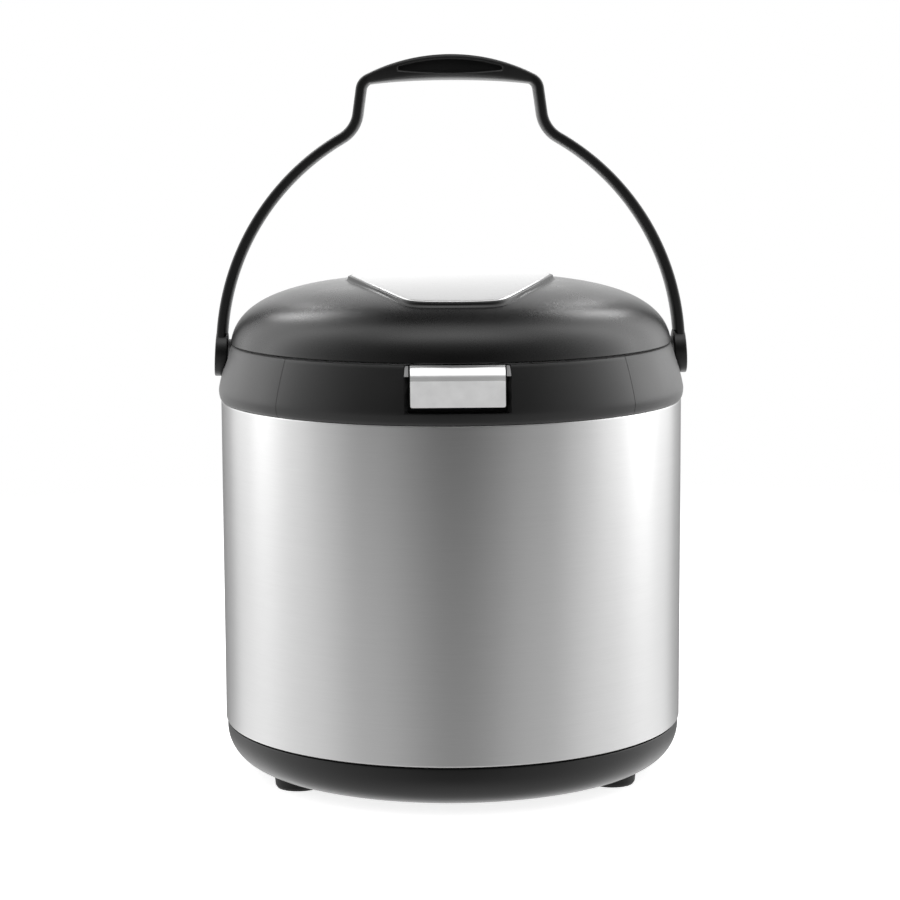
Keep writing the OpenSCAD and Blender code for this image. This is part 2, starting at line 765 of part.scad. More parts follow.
// Underside of the lid as profile points: plug, slope and recess for the pot's knob
function pan_curve(lift) = [
    [plug_r - plug_w, z_lid - plug_drop + lift],
    [pan_mid_r, z_lid + pan_mid + lift],
    [pan_r, z_lid + pan_top + lift],
    [0, z_lid + pan_top + lift]];

// Moulded lower shell of the lid
module lid_liner() {
    under = pan_curve(0);
    above = pan_curve(pan_t);
    color("#3a3a3c") difference() {
        rotate_extrude() polygon([
            under[3], under[2], under[1], under[0],
            [plug_r, z_lid - plug_drop], [plug_r, z_flange], [flange_r, z_flange],
            [flange_r, z_flange + flange_t], [plug_r - plug_w, z_flange + flange_t],
            [plug_r - plug_w, above[0][1] + pan_fillet], above[1], above[2], above[3]]);
        at_lid_screws() translate([0, 0, z_flange - over])
            cylinder(d = lid_screw_head_d + 2 * seat_gap, h = over + flange_t / 2);
        at_lid_screws() translate([0, 0, z_flange - over])
            cylinder(d = lid_screw_d + 2 * pin_gap, h = 2 * over + flange_t);
    }
}

// Insulating foam between the lid's two shells
module lid_foam() {
    above = pan_curve(pan_t + foam_gap);
    inset = lid_wall + foam_gap;
    floor_z = z_flange + flange_t + foam_gap;
    color("#d8d2bd") intersection() {
        rotate_extrude() polygon([
            above[3], above[2], above[1],
            [plug_r - plug_w - foam_gap, above[0][1] + pan_fillet],
            [plug_r - plug_w - foam_gap, floor_z], [foam_r, floor_z], [foam_r, z_crown], [0, z_crown]]);
        rotate_extrude() polygon(concat([[0, z_lid - plug_drop], [lid_r - inset, z_lid - plug_drop]],
                                        dome_curve(inset)));
    }
}

// Silicone ring that seals the lid on the liner's rim
module lid_gasket() {
    color("#b9b9b4") translate([0, 0, z_flange - gasket_h]) rotate_extrude() polygon([
        [gasket_r, gasket_h], [gasket_r, gasket_h / 3], [gasket_r + gasket_w / 4, 0],
        [gasket_r + gasket_w * 3 / 4, 0], [gasket_r + gasket_w, gasket_h / 3],
        [gasket_r + gasket_w, gasket_h]]);
}

// Steel catch under the lid's front edge, in front of which the latch's hook ends
module lid_catch() {
    lip_z = button_z1 - hook_drop - hook_t - catch_gap - catch_lip_t;
    color("#9a9b9d") {
        translate([-catch_plate_half, catch_y, z_flange - catch_plate_t])
            cube([2 * catch_plate_half, catch_plate_l, catch_plate_t]);
        translate([-catch_half, catch_y, lip_z])
            cube([2 * catch_half, catch_t, z_flange - catch_plate_t - lip_z + catch_plate_t / 2]);
        translate([-catch_half, catch_y - catch_lip, lip_z])
            cube([2 * catch_half, catch_lip + catch_t / 2, catch_lip_t]);
    }
}

// Screws that hold the lid's two shells together
module lid_screws() {
    color("#9a9b9d") at_lid_screws() {
        translate([0, 0, z_flange + seat_gap / 2])
            cylinder(d = lid_screw_head_d, h = flange_t / 2 - seat_gap / 2);
        translate([0, 0, z_flange + flange_t / 2]) cylinder(d = lid_screw_d, h = lid_screw_l - flange_t);
    }
}

// Place of a rivet on the pot's wall, on the side given by the sign
rivet_y = ear_w / 2;
rivet_x = sqrt(pot_r * pot_r - rivet_y * rivet_y);
z_ear = z_pot_rim - ear_drop;
module at_rivets(side) {
    for (s = [-1, 1]) mirror([side, 0, 0]) translate([rivet_x, s * rivet_y, z_ear]) children();
}

// Deep-drawn steel cooking pot with a rolled rim
module inner_pot() {
    corner = [pot_r - pot_corner, z_pot_wall + pot_corner];
    color("#cacbcc") difference() {
        rotate_extrude() polygon(concat(
            [[0, z_pot_wall]],
            arc(corner, pot_corner, -90, 0),
            [[pot_r, z_pot_rim - pot_rim / 2], [pot_r + pot_rim - pot_rim_edge, z_pot_rim - pot_rim / 2],
             [pot_r + pot_rim, z_pot_rim - pot_rim / 4], [pot_r + pot_rim - pot_rim_edge, z_pot_rim],
             [pot_r - pot_t, z_pot_rim]],
            arc(corner, pot_corner - pot_t, 0, -90),
            [[0, z_pot_wall + pot_t]]));
        for (side = [0, 1]) at_rivets(side) rotate([0, 90, 0])
            cylinder(d = rivet_d + 2 * pin_gap, h = pot_corner, center = true);
    }
}

// Heat-spreading disc under the pot
module pot_base() {
    r = pot_r - pot_base_in;
    color("#a9aaab") translate([0, 0, z_pot]) rotate_extrude() polygon([
        [0, 0], [r - pot_base_edge, 0], [r, pot_base_edge], [r, pot_base_t], [0, pot_base_t]]);
}

// Bent rod ear with two round pads, on the pot's side given by the sign
module pot_ear(side) {
    reach = pot_r + ear_out;
    bend = [reach - ear_bend, rivet_y - ear_bend];
    color("#bfc0c1") difference() {
        mirror([side, 0, 0]) translate([0, 0, z_ear]) {
            for (s = [0, 1]) mirror([0, s, 0]) {
                bar_x(ear_rod_d, rivet_x, bend[0], rivet_y, 0);
                bar_x(ear_pad_d, rivet_x - ear_pad_out, rivet_x + 2 * ear_pad_out, rivet_y, 0);
                translate([bend[0], bend[1], 0]) rotate_extrude(angle = 90)
                    translate([ear_bend, 0]) circle(d = ear_rod_d);
            }
            translate([reach, bend[1], 0]) rotate([90, 0, 0]) cylinder(d = ear_rod_d, h = 2 * bend[1]);
        }
        cylinder(r = pot_r + pin_gap, h = 2 * z_pot_rim);
        at_rivets(side) rotate([0, 90, 0])
            cylinder(d = rivet_d + 2 * pin_gap, h = 2 * (ear_pad_out + over), center = true);
    }
}
module pot_ear_left() { pot_ear(1); }
module pot_ear_right() { pot_ear(0); }

// Rivets that hold the ears on the pot
module pot_rivets() {
    inside = pot_t + ear_pad_d / 3;
    color("#9a9b9d") for (side = [0, 1]) at_rivets(side) rotate([0, 90, 0]) {
        translate([0, 0, -inside]) cylinder(d = rivet_d, h = inside + ear_pad_out);
        translate([0, 0, -inside - rivet_head_t]) cylinder(d = rivet_head_d, h = rivet_head_t);
    }
}

// Steel lid of the pot, crowned, with a plug inside the pot's rim
module pot_lid() {
    t = pot_t;
    plug = pot_r - pot_t - 2 * seat_gap;
    lap = pot_r + pot_rim + pot_lid_lap;
    function slope(r) = z_pot_lid + pot_lid_rise * cos(90 * r / plug);
    steps = 8;
    color("#cacbcc") rotate_extrude() polygon(concat(
        [for (i = [0:steps])
            let (r = knob_screw_d / 2 + seat_gap + (plug - t - knob_screw_d / 2 - seat_gap) * i / steps)
                [r, slope(r) - (i == steps ? pot_lid_plug : 0)]],
        [[plug, z_pot_lid - pot_lid_plug], [plug, z_pot_lid], [lap, z_pot_lid], [lap, z_pot_lid + t],
         [plug, z_pot_lid + t]],
        [for (i = [steps - 1:-1:0])
            let (r = knob_screw_d / 2 + seat_gap + (plug - t - knob_screw_d / 2 - seat_gap) * i / steps)
                [r, slope(r) + t]]));
}
z_knob_washer = z_pot_lid + pot_lid_rise + pot_t + seat_gap / 3;
z_knob = z_knob_washer + knob_washer_t;

// Heat-proof knob of the pot's lid
module pot_knob() {
    r = knob_d / 2;
    foot = knob_washer_d / 2 - 1;
    cap = [r - knob_h / 4, z_knob + knob_h * 3 / 4];
    color("#17171a") difference() {
        rotate_extrude() polygon(concat(
            [[0, z_knob], [foot, z_knob], [foot - 1, z_knob + knob_h / 3],
             [r - knob_h / 4, z_knob + knob_h / 2]],
            arc(cap, knob_h / 4, -90, 90),
            [[0, z_knob + knob_h]]));
        translate([0, 0, z_knob - over])
            cylinder(d = knob_screw_d + 2 * pin_gap, h = knob_screw_l - over);
    }
}

// Steel washer under the knob
module knob_washer() {
    color("#b4b5b6") translate([0, 0, z_knob_washer]) difference() {
        cylinder(d = knob_washer_d, h = knob_washer_t);
        translate([0, 0, -over]) cylinder(d = knob_screw_d + 2 * seat_gap, h = knob_washer_t + 2 * over);
    }
}

// Screw that holds the knob from below
module knob_screw() {
    under = z_pot_lid + pot_lid_rise - seat_gap / 3;
    color("#9a9b9d") {
        translate([0, 0, under - knob_head_t]) cylinder(d = knob_head_d, h = knob_head_t);
        translate([0, 0, under - over / 2]) cylinder(d = knob_screw_d, h = knob_screw_l);
    }
}

base_cap();
rubber_feet();
foot_screws();
outer_shell();
jacket_bottom();
inner_liner();
collar();
pivot_pin_left();
pivot_pin_right();
carry_handle();
latch_button();
latch_pin();
latch_spring();
hinge_pin();
lid_shell();
lid_plate();
lid_foam();
lid_liner();
lid_gasket();
lid_catch();
lid_screws();
inner_pot();
pot_base();
pot_ear_left();
pot_ear_right();
pot_rivets();
pot_lid();
pot_knob();
knob_washer();
knob_screw();
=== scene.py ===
"""Thermal cooker: finished meshes, finishes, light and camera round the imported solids.

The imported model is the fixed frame. Each sub-assembly is a class that holds its sizes in
millimetres, builds its meshes in edit mode and dresses them. Front is -Y, up is +Z.
"""
from __future__ import annotations

import logging
import math
from dataclasses import dataclass
from enum import Enum
from typing import Callable

import bpy
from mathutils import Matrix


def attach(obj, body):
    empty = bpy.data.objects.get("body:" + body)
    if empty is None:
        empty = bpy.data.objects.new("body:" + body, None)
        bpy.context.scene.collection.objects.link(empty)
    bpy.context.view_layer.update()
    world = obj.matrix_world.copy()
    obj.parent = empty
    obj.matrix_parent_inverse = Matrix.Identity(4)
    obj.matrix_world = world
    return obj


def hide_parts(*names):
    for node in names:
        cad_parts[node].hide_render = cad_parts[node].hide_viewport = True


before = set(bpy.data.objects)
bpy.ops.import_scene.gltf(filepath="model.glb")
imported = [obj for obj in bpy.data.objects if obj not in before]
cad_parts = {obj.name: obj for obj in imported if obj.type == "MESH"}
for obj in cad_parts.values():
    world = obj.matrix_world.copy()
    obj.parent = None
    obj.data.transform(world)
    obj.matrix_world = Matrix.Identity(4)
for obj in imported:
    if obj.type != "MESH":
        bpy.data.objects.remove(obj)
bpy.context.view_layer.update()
LOG = logging.getLogger("thermal_cooker")
MM = 0.001
SIDES = (-1, 1)
WHITE = (1, 1, 1, 1)
# Least part of a face's normal along an axis at which the face counts as looking that way.
TURNED = 0.3

Pair = tuple[float, float]
Triple = tuple[float, float, float]
Stops = tuple[Pair, ...]
Inputs = dict[str | int, object]
Piece = bpy.types.Object
Finish = bpy.types.Material
Socket = bpy.types.NodeSocket


class Body(Enum):
    """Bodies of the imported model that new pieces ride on."""

    BODY = "body"
    HANDLE = "handle"
    LATCH = "latch"
    LID = "lid"


class Grain(Enum):
    """Direction in which a steel surface is brushed."""

    AROUND = "around"
    ACROSS = "across"
    SPUN = "spun"


class Join(Enum):
    """What a tool does to a piece."""

    CUT = "DIFFERENCE"
    WELD = "UNION"
    KEEP = "INTERSECT"


def mix(first: float, last: float, share: float) -> float:
    """Value between two others."""
    return first + (last - first) * share


def sind(degrees: float) -> float:
    """Sine of an angle in degrees."""
    return math.sin(math.radians(degrees))


def cosd(degrees: float) -> float:
    """Cosine of an angle in degrees."""
    return math.cos(math.radians(degrees))


def arc(centre: Pair, radius: float, first: float, last: float, count: int) -> list[Pair]:
    """Points of an arc.

    Args:
        centre: middle of the arc.
        radius: its radius.
        first: first angle in degrees.
        last: last angle in degrees.
        count: number of steps.

    Returns:
        The points, both ends included.
    """
    turns = [first + (last - first) * i / count for i in range(count + 1)]
    return [(centre[0] + radius * cosd(a), centre[1] + radius * sind(a)) for a in turns]


def eased(edge: list[Pair], reach: float, steps: int) -> list[Pair]:
    """Round the corners of a closed outline.

    Args:
        edge: corners in order.
        reach: how far from a corner its rounding starts.
        steps: points per rounding, less one.

    Returns:
        The outline with every corner replaced by a short curve.
    """
    out = []
    for i, corner in enumerate(edge):
        ends = []
        for other in (edge[i - 1], edge[(i + 1) % len(edge)]):
            share = min(reach / math.dist(corner, other), 0.45)
            ends.append(tuple(c + (o - c) * share for c, o in zip(corner, other)))
        for k in range(steps + 1):
            t = k / steps
            out.append(tuple((1 - t) ** 2 * a + 2 * t * (1 - t) * c + t * t * b
                             for a, c, b in zip(ends[0], corner, ends[1])))
    return out


def eased_frame(half: float, low: float, high: float, reach: float) -> list[Pair]:
    """Upright rectangle about the middle, with rounded corners."""
    return eased([(-half, low), (half, low), (half, high), (-half, high)], reach, 4)


# Edit-mode tools that the sub-assemblies share. All their lengths are in millimetres.
def add_mesh(name: str, primitive: Callable[..., object], **options: object) -> Piece:
    """Deselect everything, then add a primitive.

    Args:
        name: name of the new piece.
        primitive: the operator that adds it.
        options: what the operator is given.

    Returns:
        The new piece.
    """
    bpy.ops.object.select_all(action="DESELECT")
    primitive(**options)
    obj = bpy.context.active_object
    obj.name = name
    return obj


def select_only(obj: Piece) -> None:
    """Select one object and make it active."""
    bpy.ops.object.select_all(action="DESELECT")
    obj.select_set(True)
    bpy.context.view_layer.objects.active = obj


def edit_all() -> None:
    """Go into edit mode with everything selected."""
    bpy.ops.object.mode_set(mode="EDIT")
    bpy.ops.mesh.select_all(action="SELECT")


def close_mesh(fill: bool = False) -> None:
    """Merge doubles, close open ends if asked, turn faces outwards and leave edit mode.

    Args:
        fill: whether open ends get faces.
    """
    bpy.ops.mesh.select_all(action="SELECT")
    bpy.ops.mesh.remove_doubles(threshold=2e-6)
    if fill:
        bpy.ops.mesh.select_all(action="SELECT")
        bpy.ops.mesh.fill_holes(sides=0)
    bpy.ops.mesh.select_all(action="SELECT")
    bpy.ops.mesh.normals_make_consistent(inside=False)
    bpy.ops.object.mode_set(mode="OBJECT")


def lathe(name: str, profile: list[Pair], steps: int = 180) -> Piece:
    """Spin a profile of radius and height round Z.

    Args:
        name: name of the new piece.
        profile: points of the profile; a closed wall repeats its first point.
        steps: divisions of the full turn.

    Returns:
        The new piece.
    """
    obj = add_mesh(name, bpy.ops.mesh.primitive_plane_add, size=MM)
    edit_all()
    bpy.ops.mesh.merge(type="CENTER")
    bpy.ops.transform.translate(value=(profile[0][0] * MM, 0, profile[0][1] * MM))
    for a, b in zip(profile, profile[1:]):
        step = ((b[0] - a[0]) * MM, 0, (b[1] - a[1]) * MM)
        bpy.ops.mesh.extrude_vertices_move(TRANSFORM_OT_translate={"value": step})
    bpy.ops.mesh.select_all(action="SELECT")
    bpy.ops.mesh.spin(steps=steps, angle=math.tau, center=(0, 0, 0), axis=(0, 0, 1))
    close_mesh()
    return obj


def loft(name: str, rings: list[list[Triple]]) -> Piece:
    """Stretch a grid over rings of points, as a tube with closed ends.

    Args:
        name: name of the new piece.
        rings: rings of equal length.

    Returns:
        The new piece.
    """
    across = len(rings[0])
    obj = add_mesh(name, bpy.ops.mesh.primitive_grid_add, x_subdivisions=across,
                   y_subdivisions=len(rings) - 1, size=MM)
    for i, vertex in enumerate(obj.data.vertices):
        point = rings[i // (across + 1)][i % (across + 1) % across]
        vertex.co = tuple(c * MM for c in point)
    edit_all()
    close_mesh(fill=True)
    return obj


def prism(name: str, outline: list[Triple], move: Triple) -> Piece:
    """Extrude a flat outline.

    Args:
        name: name of the new piece.
        outline: its corners.
        move: the extrusion.

    Returns:
        The new piece.
    """
    obj = add_mesh(name, bpy.ops.mesh.primitive_circle_add, vertices=len(outline), radius=MM,
                   fill_type="NGON")
    for vertex, point in zip(obj.data.vertices, outline):
        vertex.co = tuple(c * MM for c in point)
    edit_all()
    step = tuple(c * MM for c in move)
    bpy.ops.mesh.extrude_region_move(TRANSFORM_OT_translate={"value": step})
    close_mesh()
    return obj


def box(name: str, corner: Triple, opposite: Pair, length: float) -> Piece:
    """Block along X.

    Args:
        name: name of the new piece.
        corner: a corner of its first end.
        opposite: y and z of the opposite corner there.
        length: its length, below zero to the left.

    Returns:
        The new piece.
    """
    x, y, z = corner
    back, top = opposite
    return prism(name, [(x, y, z), (x, back, z), (x, back, top), (x, y, top)], (length, 0, 0))


def bar(name: str, diameter: float, start: Triple, length: float, sides: int = 64) -> Piece:
    """Round bar along X.

    Args:
        name: name of the new piece.
        diameter: its diameter.
        start: middle of its first end.
        length: its length.
        sides: divisions of its round.

    Returns:
        The new piece.
    """
    x, y, z = start
    turns = [math.tau * i / sides for i in range(sides)]
    ring = [(x, y + diameter / 2 * math.cos(a), z + diameter / 2 * math.sin(a)) for a in turns]
    return prism(name, ring, (length, 0, 0))


def slice_off(obj: Piece, point: Triple, normal: Triple) -> None:
    """Cut away what lies beyond a plane and close the cut.

    Args:
        obj: the piece.
        point: a point of the plane.
        normal: direction of the side that goes.
    """
    select_only(obj)
    edit_all()
    place = tuple(c * MM for c in point)
    bpy.ops.mesh.bisect(plane_co=place, plane_no=normal, use_fill=True, clear_outer=True)
    close_mesh()


def combine(obj: Piece, tool: Piece, join: Join) -> None:
    """Apply a boolean with a tool, then remove the tool.

    Args:
        obj: the piece that stays.
        tool: the piece that cuts, is added or limits.
        join: what the tool does.
    """
    select_only(obj)
    shape = obj.modifiers.new("shape", "BOOLEAN")
    shape.operation = join.value
    shape.object = tool
    shape.solver = "EXACT"
    bpy.ops.object.modifier_apply(modifier=shape.name)
    bpy.data.objects.remove(tool)


def soften(obj: Piece, width: float, segments: int = 2, angle: float = 40) -> None:
    """Bevel the sharp edges of a piece.

    Args:
        obj: the piece.
        width: width of the bevel.
        segments: faces across it.
        angle: least angle of an edge that is bevelled, in degrees.
    """
    select_only(obj)
    edge = obj.modifiers.new("edge", "BEVEL")
    edge.width = width * MM
    edge.segments = segments
    edge.limit_method = "ANGLE"
    edge.angle_limit = math.radians(angle)
    edge.use_clamp_overlap = True
    bpy.ops.object.modifier_apply(modifier=edge.name)


def smooth(obj: Piece, angle: float = 35) -> None:
    """Shade smooth, but for edges sharper than the angle in degrees."""
    select_only(obj)
    bpy.ops.object.shade_smooth_by_angle(angle=math.radians(angle))


class Graph:
    """Node tree with short calls to add nodes and fill their inputs."""

    def __init__(self, tree: bpy.types.NodeTree) -> None:
        """Empty the tree."""
        self.tree = tree
        tree.nodes.clear()

    def feed(self, socket: Socket, value: object) -> None:
        """Link an output to an input socket, or set the input to a constant.

        Args:
            socket: the input.
            value: an output socket, a number or a colour.
        """
        if isinstance(value, bpy.types.NodeSocket):
            self.tree.links.new(value, socket)
        else:
            socket.default_value = value

    def add(self, kind: str, inputs: Inputs | None = None, **values: object) -> bpy.types.Node:
        """Add a node.

        Args:
            kind: the node's type, without the words that all shader nodes share.
            inputs: outputs, numbers or colours for its inputs, by name or place.
            values: its properties by name.

        Returns:
            The node.
        """
        node = self.tree.nodes.new("ShaderNode" + kind)
        for key, value in values.items():
            setattr(node, key, value)
        for key, value in (inputs or {}).items():
            self.feed(node.inputs[key], value)
        return node

    def math(self, operation: str, a: object, b: object = 0.0) -> Socket:
        """Result of a math node on two numbers or sockets."""
        return self.add("Math", {0: a, 1: b}, operation=operation).outputs[0]

    def noise(self, vector: Socket, scale: float, detail: float = 2.0, rough: float = 0.5) -> Socket:
        """Noise texture on a vector.

        Args:
            vector: where it is read.
            scale: repeats per metre.
            detail: octaves.
            rough: weight of the finer octaves.

        Returns:
            Its level.
        """
        inputs: Inputs = {"Vector": vector, "Scale": scale, "Detail": detail, "Roughness": rough}
        return self.add("TexNoise", inputs).outputs["Fac"]

    def spread(self, value: Socket, low: float, high: float, start: float = 0.3,
               stop: float = 0.7) -> Socket:
        """Map a value from one range to another, with both ends held.

        Args:
            value: the socket that is mapped.
            low: result at start.
            high: result at stop.
            start: input at low.
            stop: input at high.

        Returns:
            The result.
        """
        inputs: Inputs = {"Value": value, "From Min": start, "From Max": stop, "To Min": low, "To Max": high}
        return self.add("MapRange", inputs).outputs["Result"]

    def share(self, value: Socket, band: Pair) -> Socket:
        """Share from 0 to 1 between the two ends of a band."""
        return self.spread(value, 0.0, 1.0, *band)

    def blend(self, first: Socket, second: Socket | float, share: Socket) -> Socket:
        """Mix two levels by a share from 0 to 1."""
        gap = self.math("SUBTRACT", second, first)
        return self.math("ADD", first, self.math("MULTIPLY", gap, share))

    def curve(self, value: Socket, stops: Stops) -> Socket:
        """Smooth grey curve.

        Args:
            value: position along the curve, from 0 to 1.
            stops: positions and levels that it goes through.

        Returns:
            The level.
        """
        ramp = self.add("ValToRGB", {"Fac": value})
        ramp.color_ramp.interpolation = "EASE"
        marks = ramp.color_ramp.elements
        while len(marks) < len(stops):
            marks.new(1.0)
        for mark, (position, level) in zip(marks, stops):
            mark.position = position
            mark.color = (level, level, level, 1)
        return ramp.outputs["Color"]

    def tint(self, value: Socket, dark: Triple, light: Triple) -> Socket:
        """Colour that goes from dark to light with a noise level.

        Args:
            value: the level.
            dark: colour at low levels.
            light: colour at high levels.

        Returns:
            The colour.
        """
        ramp = self.add("ValToRGB", {"Fac": value})
        for mark, position, colour in zip(ramp.color_ramp.elements, (0.3, 0.7), (dark, light)):
            mark.position = position
            mark.color = (*colour, 1)
        return ramp.outputs["Color"]


class Sheet(Graph):
    """Node tree of one material with a principled shader."""

    def __init__(self, name: str) -> None:
        """Start the material."""
        self.material = bpy.data.materials.new(name)
        self.material.use_nodes = True
        super().__init__(self.material.node_tree)
        self.shader = self.add("BsdfPrincipled")
        self.add("OutputMaterial", {"Surface": self.shader.outputs["BSDF"]})
        self.place = self.add("TexCoord").outputs["Object"]

    def fill(self, **values: object) -> None:
        """Link or set sockets of the shader; underscores stand for spaces."""
        for key, value in values.items():
            self.feed(self.shader.inputs[key.replace("_", " ")], value)

    def bump(self, height: Socket, strength: float, distance: float) -> None:
        """Drive the shader's normal from a height.

        Args:
            height: the height.
            strength: share of the effect.
            distance: depth in metres.
        """
        inputs: Inputs = {"Height": height, "Strength": strength, "Distance": distance}
        self.fill(Normal=self.add("Bump", inputs).outputs["Normal"])


@dataclass(frozen=True)
class Moulding:
    """Moulded plastic or rubber with a fine spark-eroded grain."""

    name: str
    dark: float
    light: float
    rough_low: float
    rough_high: float
    grain: float = 1500.0
    depth: float = 0.12
    warmth: float = 0.0
    sheen: float = 0.0
    cloud: float = 38.0
    relief: float = 0.0002

    def shade(self, level: float) -> Triple:
        """Colour of a level, a little warm if asked."""
        return level * (1 + self.warmth), level, level * (1 - self.warmth)

    def material(self) -> Finish:
        """Build the node material.

        Returns:
            The material.
        """
        sheet = Sheet(self.name)
        cloud = sheet.noise(sheet.place, self.cloud, 3.0)
        fine = sheet.noise(sheet.place, self.grain, 2.0, 0.6)
        mean = sheet.math("MULTIPLY", sheet.math("ADD", cloud, fine), 0.5)
        sheet.bump(fine, self.depth, self.relief)
        sheet.fill(Base_Color=sheet.tint(cloud, self.shade(self.dark), self.shade(self.light)),
                   Roughness=sheet.spread(mean, self.rough_low, self.rough_high),
                   Specular_IOR_Level=0.5, Sheen_Weight=self.sheen, Sheen_Roughness=0.4)
        return sheet.material


@dataclass(frozen=True)
class BrushedSteel:
    """Steel with fine brush lines in one direction."""

    name: str
    grain: Grain
    dark: float
    light: float
    rough_low: float
    rough_high: float
    depth: float = 0.02
    smear: float = 0.0
    stretch: float = 0.02
    fine: float = 3600.0
    coarse: float = 700.0
    fine_share: float = 0.7
    relief: float = 0.00006

    def lines(self, sheet: Sheet) -> Socket:
        """Coordinates that are long along the brush lines and short across them.

        Args:
            sheet: the material that is being built.

        Returns:
            The coordinates.
        """
        x, y, z = sheet.add("SeparateXYZ", {"Vector": sheet.place}).outputs
        inputs: Inputs = {"X": sheet.math("MULTIPLY", x, self.stretch), "Y": y}
        if self.grain is not Grain.ACROSS:
            inputs.update(Y=sheet.math("MULTIPLY", y, self.stretch), Z=z)
        if self.grain is Grain.SPUN:
            square = sheet.math("ADD", sheet.math("MULTIPLY", x, x), sheet.math("MULTIPLY", y, y))
            inputs.update(Z=sheet.math("ADD", sheet.math("SQRT", square), z))
        return sheet.add("CombineXYZ", inputs).outputs[0]

    def material(self) -> Finish:
        """Build the node material.

        Returns:
            The material.
        """
        sheet = Sheet(self.name)
        where = self.lines(sheet)
        streak = sheet.math("MULTIPLY", sheet.noise(where, self.fine, 2.0, 0.6), self.fine_share)
        band = sheet.math("MULTIPLY", sheet.noise(where, self.coarse), 1 - self.fine_share)
        level = sheet.math("ADD", streak, band)
        sheet.bump(level, self.depth, self.relief)
        sheet.fill(Base_Color=sheet.tint(level, (self.dark,) * 3, (self.light,) * 3),
                   Roughness=sheet.spread(level, self.rough_low, self.rough_high),
                   Metallic=1.0, Anisotropic=self.smear, Anisotropic_Rotation=0.25)
        return sheet.material


@dataclass(frozen=True)
class Plating:
    """Bright plating on a moulding, satin or polished."""

    name: str
    dark: float
    light: float
    rough: float
    metal: float
    haze: float = 160.0
    grain: float = 2200.0
    depth: float = 0.03
    relief: float = 0.00005
    vary: float = 0.15

    def material(self) -> Finish:
        """Build the node material.

        Returns:
            The material.
        """
        sheet = Sheet(self.name)
        haze = sheet.noise(sheet.place, self.haze, 3.0)
        sheet.bump(sheet.noise(sheet.place, self.grain), self.depth, self.relief)
        sheet.fill(Base_Color=sheet.tint(haze, (self.dark,) * 3, (self.light,) * 3),
                   Roughness=sheet.spread(haze, self.rough * (1 - self.vary), self.rough * (1 + self.vary)),
                   Metallic=self.metal)
        return sheet.material


class Finishes:
    """All finishes of the cooker, each made once."""

    def __init__(self) -> None:
        """Build every material."""
        self.shell_plastic = Moulding("black_moulding", 0.002, 0.003, 0.25, 0.33, sheen=0.05).material()
        self.collar_plastic = Moulding("collar_moulding", 0.002, 0.003, 0.32, 0.4, sheen=0.38).material()
        self.base_plastic = Moulding("base_moulding", 0.002, 0.003, 0.32, 0.4, sheen=0.02).material()
        # Darker, rougher finish without sheen: painted shade for the latch pocket and the base's groove.
        self.pocket_shade_plastic = Moulding("painted_shade_moulding", 0.001, 0.002, 0.55, 0.65).material()
        self.inner_plastic = Moulding("inner_moulding", 0.002, 0.004, 0.28, 0.36, sheen=0.8).material()
        self.handle_plastic = Moulding("handle_moulding", 0.002, 0.004, 0.32, 0.4).material()
        self.grey_plastic = Moulding("grey_moulding", 0.045, 0.06, 0.4, 0.5).material()
        self.pin_plastic = Moulding("pin_moulding", 0.008, 0.012, 0.38, 0.48).material()
        self.knob_plastic = Moulding("knob_moulding", 0.008, 0.012, 0.22, 0.3).material()
        # Light grey painted highlight for the upward slopes of the pocket's cheeks.
        self.cheek = Moulding("cheek_painted_highlight", 0.3, 0.36, 0.4, 0.5).material()
        self.rubber = Moulding("foot_rubber", 0.004, 0.007, 0.6, 0.75, 900.0, 0.25).material()
        self.silicone = Moulding("seal_silicone", 0.42, 0.5, 0.45, 0.55, 700.0, 0.1, 0.02).material()
        self.foam = Moulding("lid_foam_finish", 0.5, 0.62, 0.8, 0.9, 260.0, 0.6, 0.12).material()
        self.wall_steel = BrushedSteel("wall_steel", Grain.AROUND, 0.615, 0.645, 0.28, 0.32, 0.012,
                                       0.8).material()
        self.plate_steel = BrushedSteel("plate_steel", Grain.ACROSS, 0.7, 0.76, 0.26, 0.34).material()
        self.liner_steel = BrushedSteel("liner_steel", Grain.AROUND, 0.5, 0.6, 0.28, 0.4).material()
        self.pot_steel = BrushedSteel("pot_steel", Grain.SPUN, 0.58, 0.68, 0.18, 0.28).material()
        self.hardware = BrushedSteel("turned_steel", Grain.SPUN, 0.42, 0.52, 0.3, 0.42).material()
        # Near-black steel for the lid's catch: painted shade for the dark gap it sits in.
        self.catch_shade_steel = BrushedSteel("catch_painted_shade_steel", Grain.ACROSS, 0.02, 0.03, 0.4, 0.5).material()
        self.satin = Plating("satin_plating", 0.8, 0.86, 0.4, 0.3).material()
        self.polish = Plating("polished_plating", 0.9, 0.94, 0.14, 0.6).material()


def dress(obj: Piece, body: Body, slot: str, *finishes: Finish) -> None:
    """Give a new piece its finishes and its body.

    Args:
        obj: the new piece.
        body: body that it rides on.
        slot: slot of the record; not used.
        finishes: its materials, the main one first.
    """
    obj.data.materials.clear()
    for finish in finishes:
        obj.data.materials.append(finish)
    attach(obj, body.value)
    LOG.info("piece %s on %s: %d faces", obj.name, body.value, len(obj.data.polygons))


def paint(obj: Piece, index: int, test: Callable[[Triple, Triple], bool]) -> None:
    """Give some faces of a piece another of its finishes.

    Args:
        obj: the piece.
        index: place of the finish among those of the piece.
        test: says from a face's middle in millimetres and its normal whether it takes the finish.
    """
    for face in obj.data.polygons:
        if test(tuple(c / MM for c in face.center), tuple(face.normal)):
            face.material_index = index


def coat(finish: Finish, *nodes: str) -> None:
    """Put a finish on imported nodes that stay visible.

    Args:
        finish: the material.
        nodes: names of the nodes.
    """
    for node in nodes:
        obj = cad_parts[node]
        if not obj.material_slots:
            obj.data.materials.append(finish)
        for holder in obj.material_slots:
            holder.material = finish
        LOG.info("node %s keeps its shape", node)


